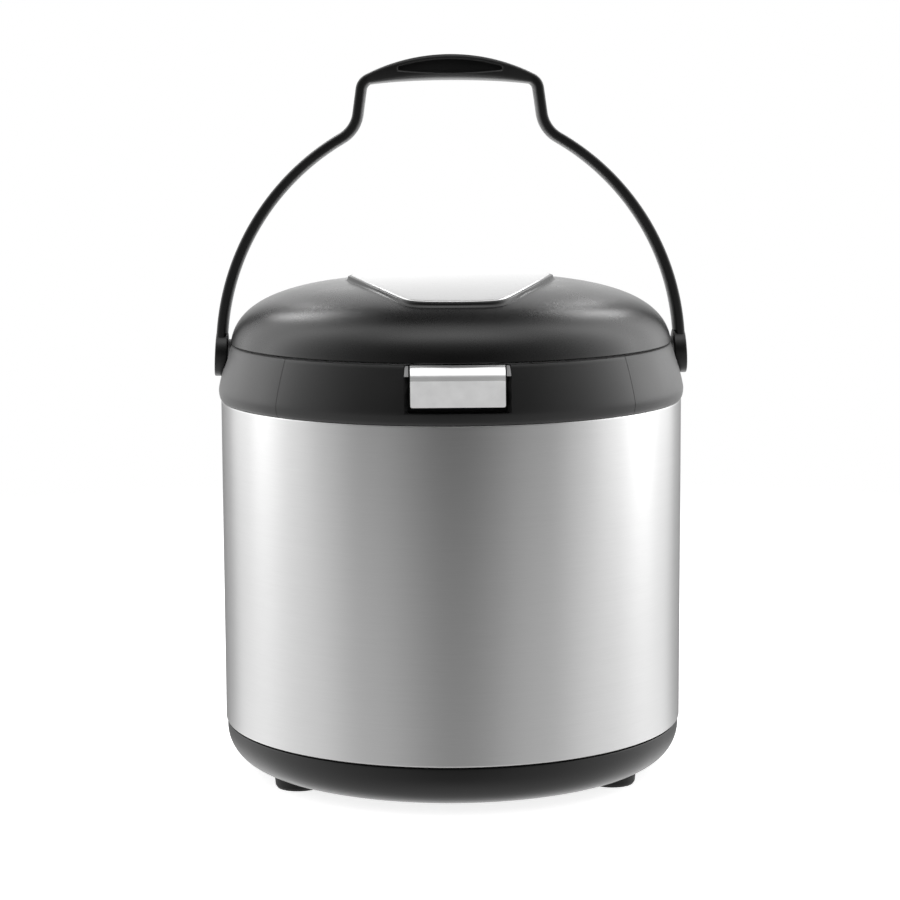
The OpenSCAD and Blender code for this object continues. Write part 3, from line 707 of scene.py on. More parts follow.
@dataclass
class BaseUnit:
    """Moulded base cap with a shadow groove under the wall, its faces painted darker as shade, and its feet.
    """

    side_r: float = 134.2
    corner: float = 21.0
    bottom: float = 6.0
    top: float = 31.0
    lip: float = 0.5
    groove_r: float = 132.4
    groove: float = 0.9
    spigot_r: float = 128.7
    spigot_top: float = 37.0
    wall: float = 3.0

    def build(self, finishes: Finishes) -> None:
        """Spin the cap and coat the feet.

        Args:
            finishes: the cooker's finishes.
        """
        centre = (self.side_r - self.corner, self.bottom + self.corner)
        shoulder = self.top - self.groove
        inside = self.spigot_r - self.wall
        profile = [(0.0, self.bottom)] + arc(centre, self.corner, -90, 0, 24)
        profile += arc((self.side_r - self.lip, shoulder - self.lip), self.lip, 0, 90, 4)
        profile += [(self.groove_r, shoulder), (self.groove_r, self.top), (self.spigot_r, self.top),
                    (self.spigot_r, self.spigot_top), (inside, self.spigot_top)]
        profile += [(inside, self.top - self.wall)] + arc(centre, self.corner - self.wall, 0, -90, 10)
        profile += [(0.0, self.bottom + self.wall)]
        cap = lathe("base_moulding", profile)
        smooth(cap)
        dress(cap, Body.BODY, "black_plastic", finishes.base_plastic, finishes.pocket_shade_plastic)
        # Faces at and above the groove take the darker, rougher finish as painted shade.
        paint(cap, 1, lambda middle, normal: middle[2] > shoulder - 0.05)
        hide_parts("base_cap")
        coat(finishes.rubber, "rubber_feet")
        coat(finishes.hardware, "foot_screws")


@dataclass
class SteelBody:
    """Brushed outer wall with the sheets behind it."""

    radius: float = 135.0
    bottom: float = 31.0
    top: float = 221.0
    sheet: float = 0.8
    hem_r: float = 129.0
    neck_r: float = 119.1
    roll: float = 1.2
    steps: int = 256

    def build(self, finishes: Finishes) -> None:
        """Spin the wall with rolled edges and coat the inner sheets.

        Args:
            finishes: the cooker's finishes.
        """
        low = (self.radius - self.roll, self.bottom + self.roll)
        high = (self.radius - self.roll, self.top - self.roll)
        inner = self.roll - self.sheet
        profile = [(self.hem_r, self.bottom)] + arc(low, self.roll, -90, 0, 6)
        profile += arc(high, self.roll, 0, 90, 6) + [(self.neck_r, self.top)]
        profile += [(self.neck_r, self.top - self.sheet)] + arc(high, inner, 90, 0, 3)
        profile += arc(low, inner, 0, -90, 3) + [(self.hem_r, self.bottom + self.sheet)]
        wall = lathe("steel_wall", profile + profile[:1], self.steps)
        smooth(wall, 50)
        dress(wall, Body.BODY, "brushed_steel", finishes.wall_steel)
        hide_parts("outer_shell")
        coat(finishes.liner_steel, "jacket_bottom", "inner_liner")


@dataclass
class Hinge:
    """Rear hinge whose knuckles the collar and the lid share."""

    y: float = 135.5
    z: float = 252.0
    diameter: float = 9.2
    ease: float = 0.6

    def knuckle(self, piece: Piece, x: float, length: float, root: float, span: Pair) -> None:
        """Add a knuckle and its web to a piece.

        Args:
            piece: the collar or the lid.
            x: where the knuckle starts.
            length: its length, below zero to the left.
            root: y at which the web starts.
            span: lower and upper edge of the web.
        """
        knuckle = bar("knuckle", self.diameter, (x, self.y, self.z), length)
        soften(knuckle, self.ease)
        combine(piece, knuckle, Join.WELD)
        web = box("knuckle_web", (x, root, span[0]), (self.y, span[1]), length)
        combine(piece, web, Join.WELD)


@dataclass
class CollarRing:
    """Moulded collar with latch pocket, arm pockets and hinge knuckles."""

    foot_r: float = 134.5
    wide_r: float = 136.3
    top_r: float = 128.8
    bottom: float = 221.0
    widest: float = 227.0
    top: float = 253.2
    ledge: float = 249.4
    deck_r: float = 122.3
    skirt_r: float = 119.3
    skirt_bottom: float = 236.0
    wall: float = 3.0
    ease: float = 1.25
    fill_half: float = 36.0
    fill_in: float = 0.4
    fill_gap: float = 0.3
    pivot_z: float = 247.0
    block_d: float = 34.0
    block_x: float = 122.0
    block_w: float = 10.0
    block_drop: float = 8.5
    eye_pocket_r: float = 13.6
    pocket_floor: float = 130.1
    pocket_reach: float = 20.0
    relief_half: float = 18.0
    relief_low: float = 242.5
    relief_ease: float = 3.0
    latch_half: float = 27.2
    latch_mouth: float = 29.3
    splay: float = 2.6
    latch_floor: float = -123.3
    latch_pin_y: float = -129.4
    latch_pin_z: float = 242.8
    latch_bottom: float = 227.3
    lug_x: float = 10.2
    lug_w: float = 3.2
    lug_r: float = 3.0
    cheek_x: float = 26.7
    cheek_w: float = 2.4
    cheek_low: float = 247.0
    cheek_y: Pair = (-127.4, -124.8)
    pin_bore: float = 3.1
    bore_half: float = 25.6
    knuckle_x: Pair = (13.4, 28.0)
    web_y: float = 124.9
    web_drop: float = 4.6
    line_turn: float = 47.0
    line_w: float = 1.0
    line_deep: float = 0.12
    beyond: float = 160.0

    def radius(self, z: float) -> float:
        """Radius of the leaning side at a height above the widest line."""
        share = (min(max(z, self.widest), self.top) - self.widest) / (self.top - self.widest)
        return self.wide_r - (self.wide_r - self.top_r) * share ** self.ease

    def side(self, inset: float) -> list[Pair]:
        """Outer side from the foot to the top edge.

        Args:
            inset: how far it is moved in.

        Returns:
            Points of radius and height.
        """
        points = []
        for turn in range(0, 91, 9):
            points.append((self.wide_r - (self.wide_r - self.foot_r) * (1 - sind(turn)) - inset,
                           self.widest - (self.widest - self.bottom) * cosd(turn)))
        for i in range(1, 15):
            height = self.widest + (self.top - 0.5 - self.widest) * (i / 14)
            points.append((self.radius(height) - inset, height))
        return points

    def ring(self) -> Piece:
        """Spin the hollow ring.

        Returns:
            The ring.
        """
        roof = self.ledge - self.wall
        inner = [p for p in self.side(self.wall) if p[1] < roof]
        back = self.skirt_r + self.wall
        profile = self.side(0.0) + [
            (self.top_r - 0.25, self.top - 0.1), (self.top_r - 0.7, self.top), (self.deck_r, self.top),
            (self.deck_r, self.ledge), (self.skirt_r, self.ledge), (self.skirt_r, self.skirt_bottom),
            (back, self.skirt_bottom), (back, roof), (inner[-1][0], roof)] + inner[::-1]
        return lathe("collar_moulding", profile + profile[:1])

    def fill(self) -> Piece:
        """Solid part of the ring round the latch.

        Returns:
            The part, a little inside the ring's faces.
        """
        inset, gap = self.fill_in, self.fill_gap
        solid = lathe("collar_fill", self.side(inset) + [
            (self.top_r - 2, self.top - inset), (self.deck_r + gap, self.top - inset),
            (self.deck_r + gap, self.ledge - gap), (self.skirt_r + gap, self.ledge - gap),
            (self.skirt_r + gap, self.bottom + gap), (self.foot_r - inset, self.bottom)])
        window = box("fill_window", (-self.fill_half, -self.beyond, self.bottom - 6),
                     (-100.0, self.top + 12), 2 * self.fill_half)
        combine(window, solid, Join.KEEP)
        return window

    def mould_line(self, side: int) -> Piece:
        """Tool for the shallow parting line at the front on one side.

        Args:
            side: -1 for the left, 1 for the right.

        Returns:
            The tool.
        """
        band = self.side(self.line_deep) + [(self.top_r + 9, self.top), (self.wide_r + 9, self.bottom)]
        line = lathe("line_tool", band + band[:1])
        u, v = side * sind(self.line_turn), -cosd(self.line_turn)
        half = self.line_w / 2
        corners = ((110, -half), (self.beyond, -half), (self.beyond, half), (110, half))
        plan = [(u * far - v * off, v * far + u * off, self.bottom - 2) for far, off in corners]
        slab = prism("line_slab", plan, (0, 0, 40))
        combine(slab, line, Join.KEEP)
        return slab

    def cheek(self, side: int) -> Piece:
        """Sloped stop beside the button's upper end.

        Args:
            side: -1 for the left, 1 for the right.

        Returns:
            The stop.
        """
        low, top, root = self.cheek_low, self.top - 0.6, self.latch_floor + 1
        edge = [(root, top), (self.cheek_y[1], top), (self.cheek_y[0], low), (root, low)]
        outline = [(side * self.cheek_x, y, z) for y, z in edge]
        return prism("pocket_cheek", outline, (side * self.cheek_w, 0, 0))

    def lug(self, side: int) -> Piece:
        """Snap-in seat of the latch pin on one side."""
        corner = (side * self.lug_x, self.latch_floor + 1, self.latch_pin_z - self.lug_r)
        return box("pin_lug", corner, (self.latch_pin_y, self.latch_pin_z + self.lug_r), side * self.lug_w)

    def relief(self, side: int) -> Piece:
        """Tool that makes room for the arm where it swings past the eye's pocket.

        Args:
            side: -1 for the left, 1 for the right.

        Returns:
            The tool.
        """
        edge = eased_frame(self.relief_half, self.relief_low, self.top + 5, self.relief_ease)
        outline = [(side * (self.pocket_floor + 0.05), y, z) for y, z in edge]
        return prism("swing_relief", outline, (side * self.pocket_reach, 0, 0))

    def pocket(self) -> Piece:
        """Tool that cuts the latch pocket with its splayed mouth.

        Returns:
            The tool.
        """
        half, mouth, floor = self.latch_half, self.latch_mouth, self.latch_floor
        rings = []
        for i in range(9):
            z = self.latch_bottom + (self.top + 5 - self.latch_bottom) * i / 8
            edge = -math.sqrt(self.radius(z) ** 2 - mouth ** 2)
            root = min(edge + self.splay, floor - 0.3)
            plan = [(-mouth, -150.0), (mouth, -150.0), (mouth, edge), (half, root), (half, floor),
                    (-half, floor), (-half, root), (-mouth, edge)]
            rings.append([(x, y, z) for x, y in plan])
        return loft("pocket_tool", rings)

    def takes_cheek_highlight(self, middle: Triple, normal: Triple) -> bool:
        """Whether a face is the upward slope of a cheek, which takes the painted highlight.

        Args:
            middle: the face's middle in millimetres.
            normal: its normal.

        Returns:
            True on the slope.
        """
        x, y, z = middle
        beside = self.cheek_x < abs(x) < self.cheek_x + self.cheek_w
        sloped = self.cheek_y[0] - 0.2 < y < self.cheek_y[1] + 0.2 and z > self.cheek_low
        return beside and sloped and normal[2] > TURNED

    def in_pocket(self, middle: Triple, normal: Triple) -> bool:
        """Whether a face is inside the latch pocket, where the painted shade goes.

        Args:
            middle: the face's middle in millimetres.
            normal: not used.

        Returns:
            True inside.
        """
        x, y, z = middle
        if abs(x) > self.latch_mouth + 0.3 or not self.latch_bottom - 0.5 < z < self.top or y > -110:
            return False
        return -y < math.sqrt(self.radius(z) ** 2 - x * x) - 0.5

    def build(self, finishes: Finishes) -> None:
        """Make the collar and its knuckles, and coat the pins.

        Args:
            finishes: the cooker's finishes.
        """
        collar = self.ring()
        combine(collar, self.fill(), Join.WELD)
        for side in SIDES:
            root = (side * self.block_x, 0, self.pivot_z - self.block_drop)
            block = bar("arm_block", self.block_d, root, side * self.block_w)
            combine(collar, block, Join.WELD)
            root = (side * self.pocket_floor, 0, self.pivot_z)
            tool = bar("arm_tool", 2 * self.eye_pocket_r, root, side * self.pocket_reach)
            combine(collar, tool, Join.CUT)
            combine(collar, self.relief(side), Join.CUT)
        combine(collar, self.pocket(), Join.CUT)
        for side in SIDES:
            combine(collar, self.lug(side), Join.WELD)
            combine(collar, self.cheek(side), Join.WELD)
            combine(collar, self.mould_line(side), Join.CUT)
        start = (-self.bore_half, self.latch_pin_y, self.latch_pin_z)
        combine(collar, bar("bore_tool", self.pin_bore, start, 2 * self.bore_half, 40), Join.CUT)
        hinge = Hinge()
        near, far = self.knuckle_x
        span = (hinge.z - self.web_drop, hinge.z)
        for side in SIDES:
            hinge.knuckle(collar, side * near, side * (far - near), self.web_y, span)
        smooth(collar, 32)
        dress(collar, Body.BODY, "black_plastic", finishes.collar_plastic, finishes.cheek,
              finishes.pocket_shade_plastic)
        # Faces inside the latch pocket take the darker, rougher finish as painted shade.
        paint(collar, 2, self.in_pocket)
        # The cheeks' upward slopes take the light grey painted highlight.
        paint(collar, 1, self.takes_cheek_highlight)
        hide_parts("collar")
        coat(finishes.pin_plastic, "pivot_pin_left", "pivot_pin_right")
        coat(finishes.hardware, "hinge_pin", "latch_pin", "latch_spring")


@dataclass
class DomeLid:
    """Domed lid, its raised field, the steel plate and the parts below."""

    radius: float = 129.6
    rim: float = 254.0
    skirt: float = 10.0
    rise: float = 36.8
    wall: float = 2.6
    side_power: float = 3.37
    top_power: float = 2.72
    crown: float = 294.0
    crown_r: float = 540.0
    cross_r: float = 1000.0
    field_w: float = 120.0
    field_l: float = 199.2
    flank_r: float = 300.0
    flank_lean: float = 9.0
    end_off: float = 6.0
    corner_power: float = 30.0
    margin: float = 1.5
    seat: float = 1.0
    plate_gap: float = 0.15
    plate_under: float = 0.9
    plate_edge: float = 1.2
    proud: float = 0.4
    knuckle_half: float = 13.0
    web_y: float = 127.8
    web_rise: float = 2.6
    sides: int = 240

    def dome(self, inset: float, count: int) -> list[Pair]:
        """Profile from the rim to the axis.

        Args:
            inset: how far it is moved in.
            count: number of steps.

        Returns:
            Points of radius and height.
        """
        full = self.skirt + self.rise - inset
        start = math.asin((self.skirt / full) ** (self.top_power / 2))
        points = []
        for i in range(count + 1):
            a = start + (math.pi / 2 - start) * i / count
            r = (self.radius - inset) * max(0.0, math.cos(a)) ** (2 / self.side_power)
            points.append((r if i < count else 0.0,
                           self.rim - self.skirt + full * math.sin(a) ** (2 / self.top_power)))
        return points

    def dome_z(self, x: float, y: float) -> float:
        """Height of the dome's outside at a place.

        Args:
            x: distance to the right of the axis.
            y: distance behind the axis.

        Returns:
            The height.
        """
        c = min(1.0, math.hypot(x, y) / self.radius) ** (self.side_power / 2)
        s = math.sqrt(max(0.0, 1 - c * c))
        return self.rim - self.skirt + (self.skirt + self.rise) * s ** (2 / self.top_power)

    def crown_z(self, x: float, y: float) -> float:
        """Height of the field's crown at a place."""
        fall = self.crown_r - math.sqrt(self.crown_r ** 2 - y * y)
        return self.crown - fall - x * x / (2 * self.cross_r)

    def reach(self, angle: float, inset: float) -> float:
        """Distance from the axis to the field's outline in one direction.

        Args:
            angle: direction in radians.
            inset: how far the outline is moved in.

        Returns:
            The distance in millimetres, with the corners eased.
        """
        ux, uy = math.cos(angle), math.sin(angle)
        right, behind = (1 if ux > 0 else -1), (1 if uy > 0 else -1)
        off_x = self.flank_r * cosd(self.flank_lean) - self.field_w / 2
        off_y = self.flank_r * sind(self.flank_lean)
        flank = (-right * off_x, -behind * off_y, self.flank_r)
        end = (0.0, -behind * self.end_off, self.field_l / 2 + self.end_off)
        total = 0.0
        for cx, cy, radius in (flank, end):
            dot = cx * ux + cy * uy
            size = radius - inset
            distance = dot + math.sqrt(dot * dot - cx * cx - cy * cy + size * size)
            total += distance ** -self.corner_power
        return total ** (-1 / self.corner_power)

    def field_ring(self, inset: float, drop: float, scale: float = 1.0, share: float = 1.0) -> list[Triple]:
        """One ring of points on the field's outline.

        Args:
            inset: how far the outline is moved in.
            drop: how far the ring lies below its surface.
            scale: share of the outline's size.
            share: where its surface lies, from 0 for the dome to 1 for the field's crown.

        Returns:
            The ring's points.
        """
        ring = []
        for i in range(self.sides):
            a = math.tau * i / self.sides
            r = self.reach(a, inset) * scale
            x, y = r * math.cos(a), r * math.sin(a)
            ring.append((x, y, mix(self.dome_z(x, y), self.crown_z(x, y), share) - drop))
        return ring

    def shell(self) -> Piece:
        """Spin the dome and add the hinge's knuckle.

        Returns:
            The shell.
        """
        outside = self.dome(0, 64)
        edge = outside[0][0]
        profile = [(edge - 0.5, self.rim), (edge, self.rim + 0.5)] + outside[1:]
        profile += self.dome(self.wall, 24)[::-1]
        shell = lathe("lid_moulding", profile + profile[:1], self.sides)
        Hinge().knuckle(shell, -self.knuckle_half, 2 * self.knuckle_half, self.web_y,
                        (self.rim, self.rim + self.web_rise))
        return shell

    def field(self) -> Piece:
        """Raised step that carries the plate, with a fillet at its foot.

        Returns:
            The step.
        """
        fillet = ((-2.2, -0.25), (-1.3, 0.06), (-0.7, 0.2), (-0.3, 0.4), (-0.1, 0.7), (0.0, 0.85))
        rim = ((0.1, 0.25), (0.35, 0.07), (0.7, 0.0), (self.margin - 0.2, 0.0), (self.margin, 0.3))
        rings = [self.field_ring(inset, 0.0, share=share) for inset, share in fillet]
        rings += [self.field_ring(inset, drop) for inset, drop in rim]
        rings += [self.field_ring(self.margin + 0.05, self.seat, scale) for scale in (1.0, 0.6, 0.2, 0.02)]
        return loft("lid_field", rings)

    def plate(self) -> Piece:
        """Crowned steel plate with a rolled edge.

        Returns:
            The plate.
        """
        gap = self.margin + self.plate_gap
        under = ((3.0, 0.02), (3.0, 1.0), (0.3, 1.0))
        roll = ((0.0, 0.6), (0.0, 0.1), (0.12, -0.1), (0.35, -0.26), (0.7, -0.36),
                (self.plate_edge, -self.proud))
        scales = (0.94, 0.85, 0.72, 0.56, 0.4, 0.24, 0.1, 0.01)
        rings = [self.field_ring(gap + inset, self.plate_under, scale) for inset, scale in under]
        rings += [self.field_ring(gap + inset, drop) for inset, drop in roll]
        rings += [self.field_ring(gap + self.plate_edge, -self.proud, scale) for scale in scales]
        return loft("lid_steel", rings)

    def build(self, finishes: Finishes) -> None:
        """Make the dome, the field and the plate, and coat the rest.

        Args:
            finishes: the cooker's finishes.
        """
        shell = self.shell()
        smooth(shell)
        dress(shell, Body.LID, "black_plastic", finishes.shell_plastic)
        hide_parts("lid_shell")
        field = self.field()
        smooth(field, 50)
        dress(field, Body.LID, "black_plastic", finishes.shell_plastic)
        plate = self.plate()
        smooth(plate, 60)
        dress(plate, Body.LID, "brushed_steel", finishes.plate_steel)
        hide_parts("lid_plate")
        coat(finishes.foam, "lid_foam")
        coat(finishes.grey_plastic, "lid_liner")
        coat(finishes.silicone, "lid_gasket")
        # The catch takes near-black painted shade, as it sits in the dark gap above the button.
        coat(finishes.catch_shade_steel, "lid_catch")
        coat(finishes.hardware, "lid_screws")


@dataclass
class BailHandle:
    """Bail handle swept along arcs, with a hollowed grip and round ends."""

    top: float = 420.3
    pivot_z: float = 247.0
    pivot_out: float = 137.7
    grip_r: float = 110.0
    grip_angle: float = 26.3
    grip_t: float = 15.0
    grip_w: float = 24.0
    shoulder_r: float = 10.5
    stalk_angle: float = 82.0
    stalk_l: float = 14.5
    neck_r: float = 16.0
    neck_angle: float = 30.0
    end_angle: float = 87.0
    arm_t: float = 6.6
    arm_w: float = 16.0
    edge: float = 1.2
    arm_bevel: float = 2.4
    arm_bevel_w: float = 7.7
    grip_bevel: float = 4.6
    grip_bevel_w: float = 11.7
    eye_r: float = 13.0
    eye_in: float = 7.2
    eye_out: float = 0.2
    eye_over: float = 3.0
    eye_ease: float = 0.8
    head_sink: float = 0.8
    pin_d: float = 8.1
    bore_x: float = 120.0
    bore_l: float = 30.0
    head_d: float = 14.2
    head_t: float = 1.45
    cut_inset: float = 2.9
    cut_drop: float = 9.1
    cut_half: float = 30.0
    cut_depth: float = 6.0
    cut_sag: float = 1.6
    cut_tilt: float = 0.18
    cut_rim: float = 0.8
    cut_over: float = 0.3

    def bend(self, start: Triple, radius: float, last: float, count: int) -> list[Triple]:
        """Stations along one arc of the path.

        Args:
            start: x, z and slope in degrees where the arc starts.
            radius: its radius.
            last: slope at its end.
            count: number of steps.

        Returns:
            Stations of x, z and slope, without the start.
        """
        x, z, first = start
        reach = radius if last > first else -radius
        slopes = [first + (last - first) * i / count for i in range(1, count + 1)]
        return [(x + reach * (sind(s) - sind(first)), z + reach * (cosd(s) - cosd(first)), s)
                for s in slopes]

    def path(self) -> list[Triple]:
        """Outer edge from the grip's middle to one pivot.

        Returns:
            Stations of x, z and slope.
        """
        line = [(0.0, self.top, 0.0)]
        line += self.bend(line[-1], self.grip_r, self.grip_angle, 22)
        line += self.bend(line[-1], self.shoulder_r, self.stalk_angle, 14)
        x, z, slope = line[-1]
        line.append((x + self.stalk_l * cosd(slope), z - self.stalk_l * sind(slope), slope))
        line += self.bend(line[-1], self.neck_r, self.neck_angle, 14)
        x, z, a = line[-1]
        b = self.end_angle
        lean = 1 / math.tan(math.radians(b))
        radius = ((self.pivot_out - x - (z - self.pivot_z) * lean)
                  / (sind(b) - sind(a) - (cosd(a) - cosd(b)) * lean))
        line += self.bend(line[-1], radius, b, 36)
        line.append((self.pivot_out, self.pivot_z, b))
        return line

    def section(self, station: Triple, side: int) -> list[Triple]:
        """Rounded section at one station.

        Args:
            station: x, z and slope of the path.
            side: 1 for the right half, -1 for the left.

        Returns:
            The section's points.
        """
        x, z, slope = station
        grip_low = self.top - self.grip_r * (1 - cosd(self.grip_angle))
        share = 0.0 if z < grip_low - 0.01 else 1 - min(1.0, slope / self.grip_angle) ** 2
        thick = mix(self.arm_t, self.grip_t, share)
        half = mix(self.arm_w, self.grip_w, share) / 2
        deep = mix(self.arm_bevel, self.grip_bevel, share)
        wide = mix(self.arm_bevel_w, self.grip_bevel_w, share)
        edge = self.edge
        round_off = [(deep - thick - deep * sind(b), half - wide + wide * cosd(b)) for b in range(0, 91, 10)]
        corners = [(0, edge - half), (0, half - edge), (-edge, half)] + round_off
        corners += [(n, -y) for n, y in reversed(round_off)] + [(-edge, -half)]
        return [(side * (x + n * sind(slope)), y, z + n * cosd(slope)) for n, y in eased(corners, 1.0, 2)]

    def hollow(self, grow: float) -> list[Pair]:
        """Outline of the grip's hollow.

        Args:
            grow: how much larger it is made.

        Returns:
            Points of x and z.
        """
        radius = self.grip_r - self.cut_inset + grow
        half = self.cut_half + grow
        end = math.degrees(math.asin(half / radius))
        floor = self.top - self.cut_drop - grow
        low = [(half * i / 6, floor - self.cut_sag * (1 - (i / 6) ** 2)) for i in range(-6, 7)]
        return eased(low + arc((0.0, self.top - self.grip_r), radius, 90 - end, 90 + end, 24), 0.8, 2)

    def face(self, x: float) -> float:
        """Half width of the grip at a distance from its middle."""
        share = 1 - (math.degrees(math.asin(abs(x) / self.grip_r)) / self.grip_angle) ** 2
        return mix(self.arm_w, self.grip_w, share) / 2

    def lens(self, side: int) -> Piece:
        """Tool that hollows one face of the grip and bevels the hollow's rim.

        Args:
            side: -1 for the front, 1 for the rear.

        Returns:
            The tool.
        """
        inner, wide = self.hollow(0.0), self.hollow(self.cut_rim + self.cut_over)
        floor = self.grip_w / 2 - self.cut_depth
        rings = [[(x, side * (floor + self.cut_tilt * (self.top - z)), z) for x, z in inner],
                 [(x, side * (self.face(x) - self.cut_rim), z) for x, z in inner],
                 [(x, side * (self.face(x) + self.cut_over), z) for x, z in wide],
                 [(x, side * 20.0, z) for x, z in wide]]
        return loft("grip_tool", rings)

    def looks_in(self, middle: Triple, normal: Triple, line: list[Triple]) -> bool:
        """Whether a face of the bow looks into it.

        Args:
            middle: the face's middle in millimetres.
            normal: its normal.
            line: stations of the path.

        Returns:
            True for a face on the inner side, outside the eyes and the grip's hollow.
        """
        x, z = abs(middle[0]), middle[2]
        hollow_low = self.top - self.cut_drop - self.cut_sag - 0.6
        if z < self.pivot_z + self.eye_r or (x < self.cut_half + 1 and z > hollow_low):
            return False
        slope = min(line, key=lambda s: math.hypot(s[0] - x, s[1] - z))[2]
        out = math.copysign(1, middle[0]) * normal[0] * sind(slope) + normal[2] * cosd(slope)
        return out < -TURNED

    def build(self, finishes: Finishes) -> None:
        """Sweep the handle, hollow the grip and add the round ends.

        Args:
            finishes: the cooker's finishes.
        """
        line = self.path()
        rings = [self.section(s, -1) for s in reversed(line[1:])] + [self.section(s, 1) for s in line]
        bail = loft("bail_moulding", rings)
        lean = 90 - self.end_angle
        for side in SIDES:
            root = (side * (self.pivot_out - self.eye_in), 0, self.pivot_z)
            eye = bar("arm_eye", 2 * self.eye_r, root, side * (self.eye_in + self.eye_over))
            slice_off(eye, (side * (self.pivot_out + self.eye_out), 0, self.pivot_z),
                      (side * cosd(lean), 0, sind(lean)))
            soften(eye, self.eye_ease, 3)
            combine(bail, eye, Join.WELD)
            bore = bar("pin_bore", self.pin_d, (side * self.bore_x, 0, self.pivot_z), side * self.bore_l)
            combine(bail, bore, Join.CUT)
            seat = self.pivot_out - self.head_sink - self.head_t
            head = bar("head_bore", self.head_d, (side * seat, 0, self.pivot_z), side * self.bore_l)
            combine(bail, head, Join.CUT)
            combine(bail, self.lens(side), Join.CUT)
        smooth(bail, 38)
        dress(bail, Body.HANDLE, "handle_plastic", finishes.handle_plastic, finishes.inner_plastic)
        paint(bail, 1, lambda middle, normal: self.looks_in(middle, normal, line))
        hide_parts("carry_handle")


@dataclass
class LatchButton:
    """Rocker button with a flat satin face and a polished curved top."""

    width: float = 51.6
    low: float = 230.9
    high: float = 253.0
    crest: float = 7.9
    bend: float = 247.4
    brow: float = 252.3
    brow_in: float = 4.3
    brow_bulge: float = 0.5
    corner: float = 1.2
    ease: float = 0.6
    face_low: float = -135.0
    face_high: float = -133.0
    plate: float = 3.0
    foot_in: float = 2.0
    crest_back: float = 3.0
    crest_in: float = 3.4
    pin_y: float = -129.4
    pin_z: float = 242.8
    boss_r: float = 3.2
    boss_w: float = 12.0
    web_in: float = 0.4
    hook_half: float = 9.0
    hook_low: float = 249.8
    hook_t: float = 2.0
    hook_tip: float = -127.0
    hook_root: float = 1.7
    bore: float = 3.1

    def section(self, fold: float, back: float) -> list[Pair]:
        """Side view of the button.

        Args:
            fold: height at which the face gives way to the curved top.
            back: y of its back there.

        Returns:
            Points of y and z.
        """
        lean = (self.face_high - self.face_low) / (fold - self.low)
        bend_y = self.face_high + lean * (self.bend - fold)
        points = [(self.face_low, self.low), (back - self.foot_in, self.low), (back, fold),
                  (back + self.crest_back, self.high), (back + self.crest_in, self.high)]
        for i in range(9):
            t = 1 - i / 8
            bulge = self.brow_bulge * math.sin(math.pi * t)
            points.append((bend_y + self.brow_in * t, mix(self.bend, self.brow, t) + bulge))
        return points + [(self.face_high, fold)]

    def build(self, finishes: Finishes) -> None:
        """Extrude the button's section, round it and add bosses and hook.

        Args:
            finishes: the cooker's finishes.
        """
        fold = self.high - self.crest
        back = self.face_high + self.plate
        half = self.width / 2
        outline = [(-half, y, z) for y, z in self.section(fold, back)]
        button = prism("latch_moulding", outline, (self.width, 0, 0))
        frame = [(x, -150.0, z) for x, z in eased_frame(half, self.low, self.high, self.corner)]
        combine(button, prism("latch_frame", frame, (0, 40, 0)), Join.KEEP)
        soften(button, self.ease, 3, 50)
        for side in SIDES:
            end = side * half
            root = (end, self.pin_y, self.pin_z)
            boss = bar("pin_boss", 2 * self.boss_r, root, -side * self.boss_w, 40)
            combine(button, boss, Join.WELD)
            web = box("boss_web", (end - side * self.web_in, back - 1, self.pin_z - self.boss_r),
                      (self.pin_y, self.pin_z + self.boss_r), -side * (self.boss_w - self.web_in))
            combine(button, web, Join.WELD)
        hook = box("hook", (-self.hook_half, back + self.hook_root, self.hook_low),
                   (self.hook_tip, self.hook_low + self.hook_t), 2 * self.hook_half)
        combine(button, hook, Join.WELD)
        pin = bar("pin_tool", self.bore, (-self.width, self.pin_y, self.pin_z), 2 * self.width, 40)
        combine(button, pin, Join.CUT)
        smooth(button, 30)
        dress(button, Body.LATCH, "bright_plastic", finishes.satin, finishes.polish)
        paint(button, 1, lambda middle, normal: (middle[2] > fold + 0.05 or abs(normal[0]) > TURNED
                                                 or normal[2] < -TURNED))
        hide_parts("latch_button")


class CookingPot:
    """Pot, its lid and their fittings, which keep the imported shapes."""

    def build(self, finishes: Finishes) -> None:
        """Coat every node of the pot.

        Args:
            finishes: the cooker's finishes.
        """
        coat(finishes.pot_steel, "inner_pot", "pot_base", "pot_ear_left", "pot_ear_right", "pot_lid")
        coat(finishes.hardware, "pot_rivets", "knob_washer", "knob_screw")
        coat(finishes.knob_plastic, "pot_knob")


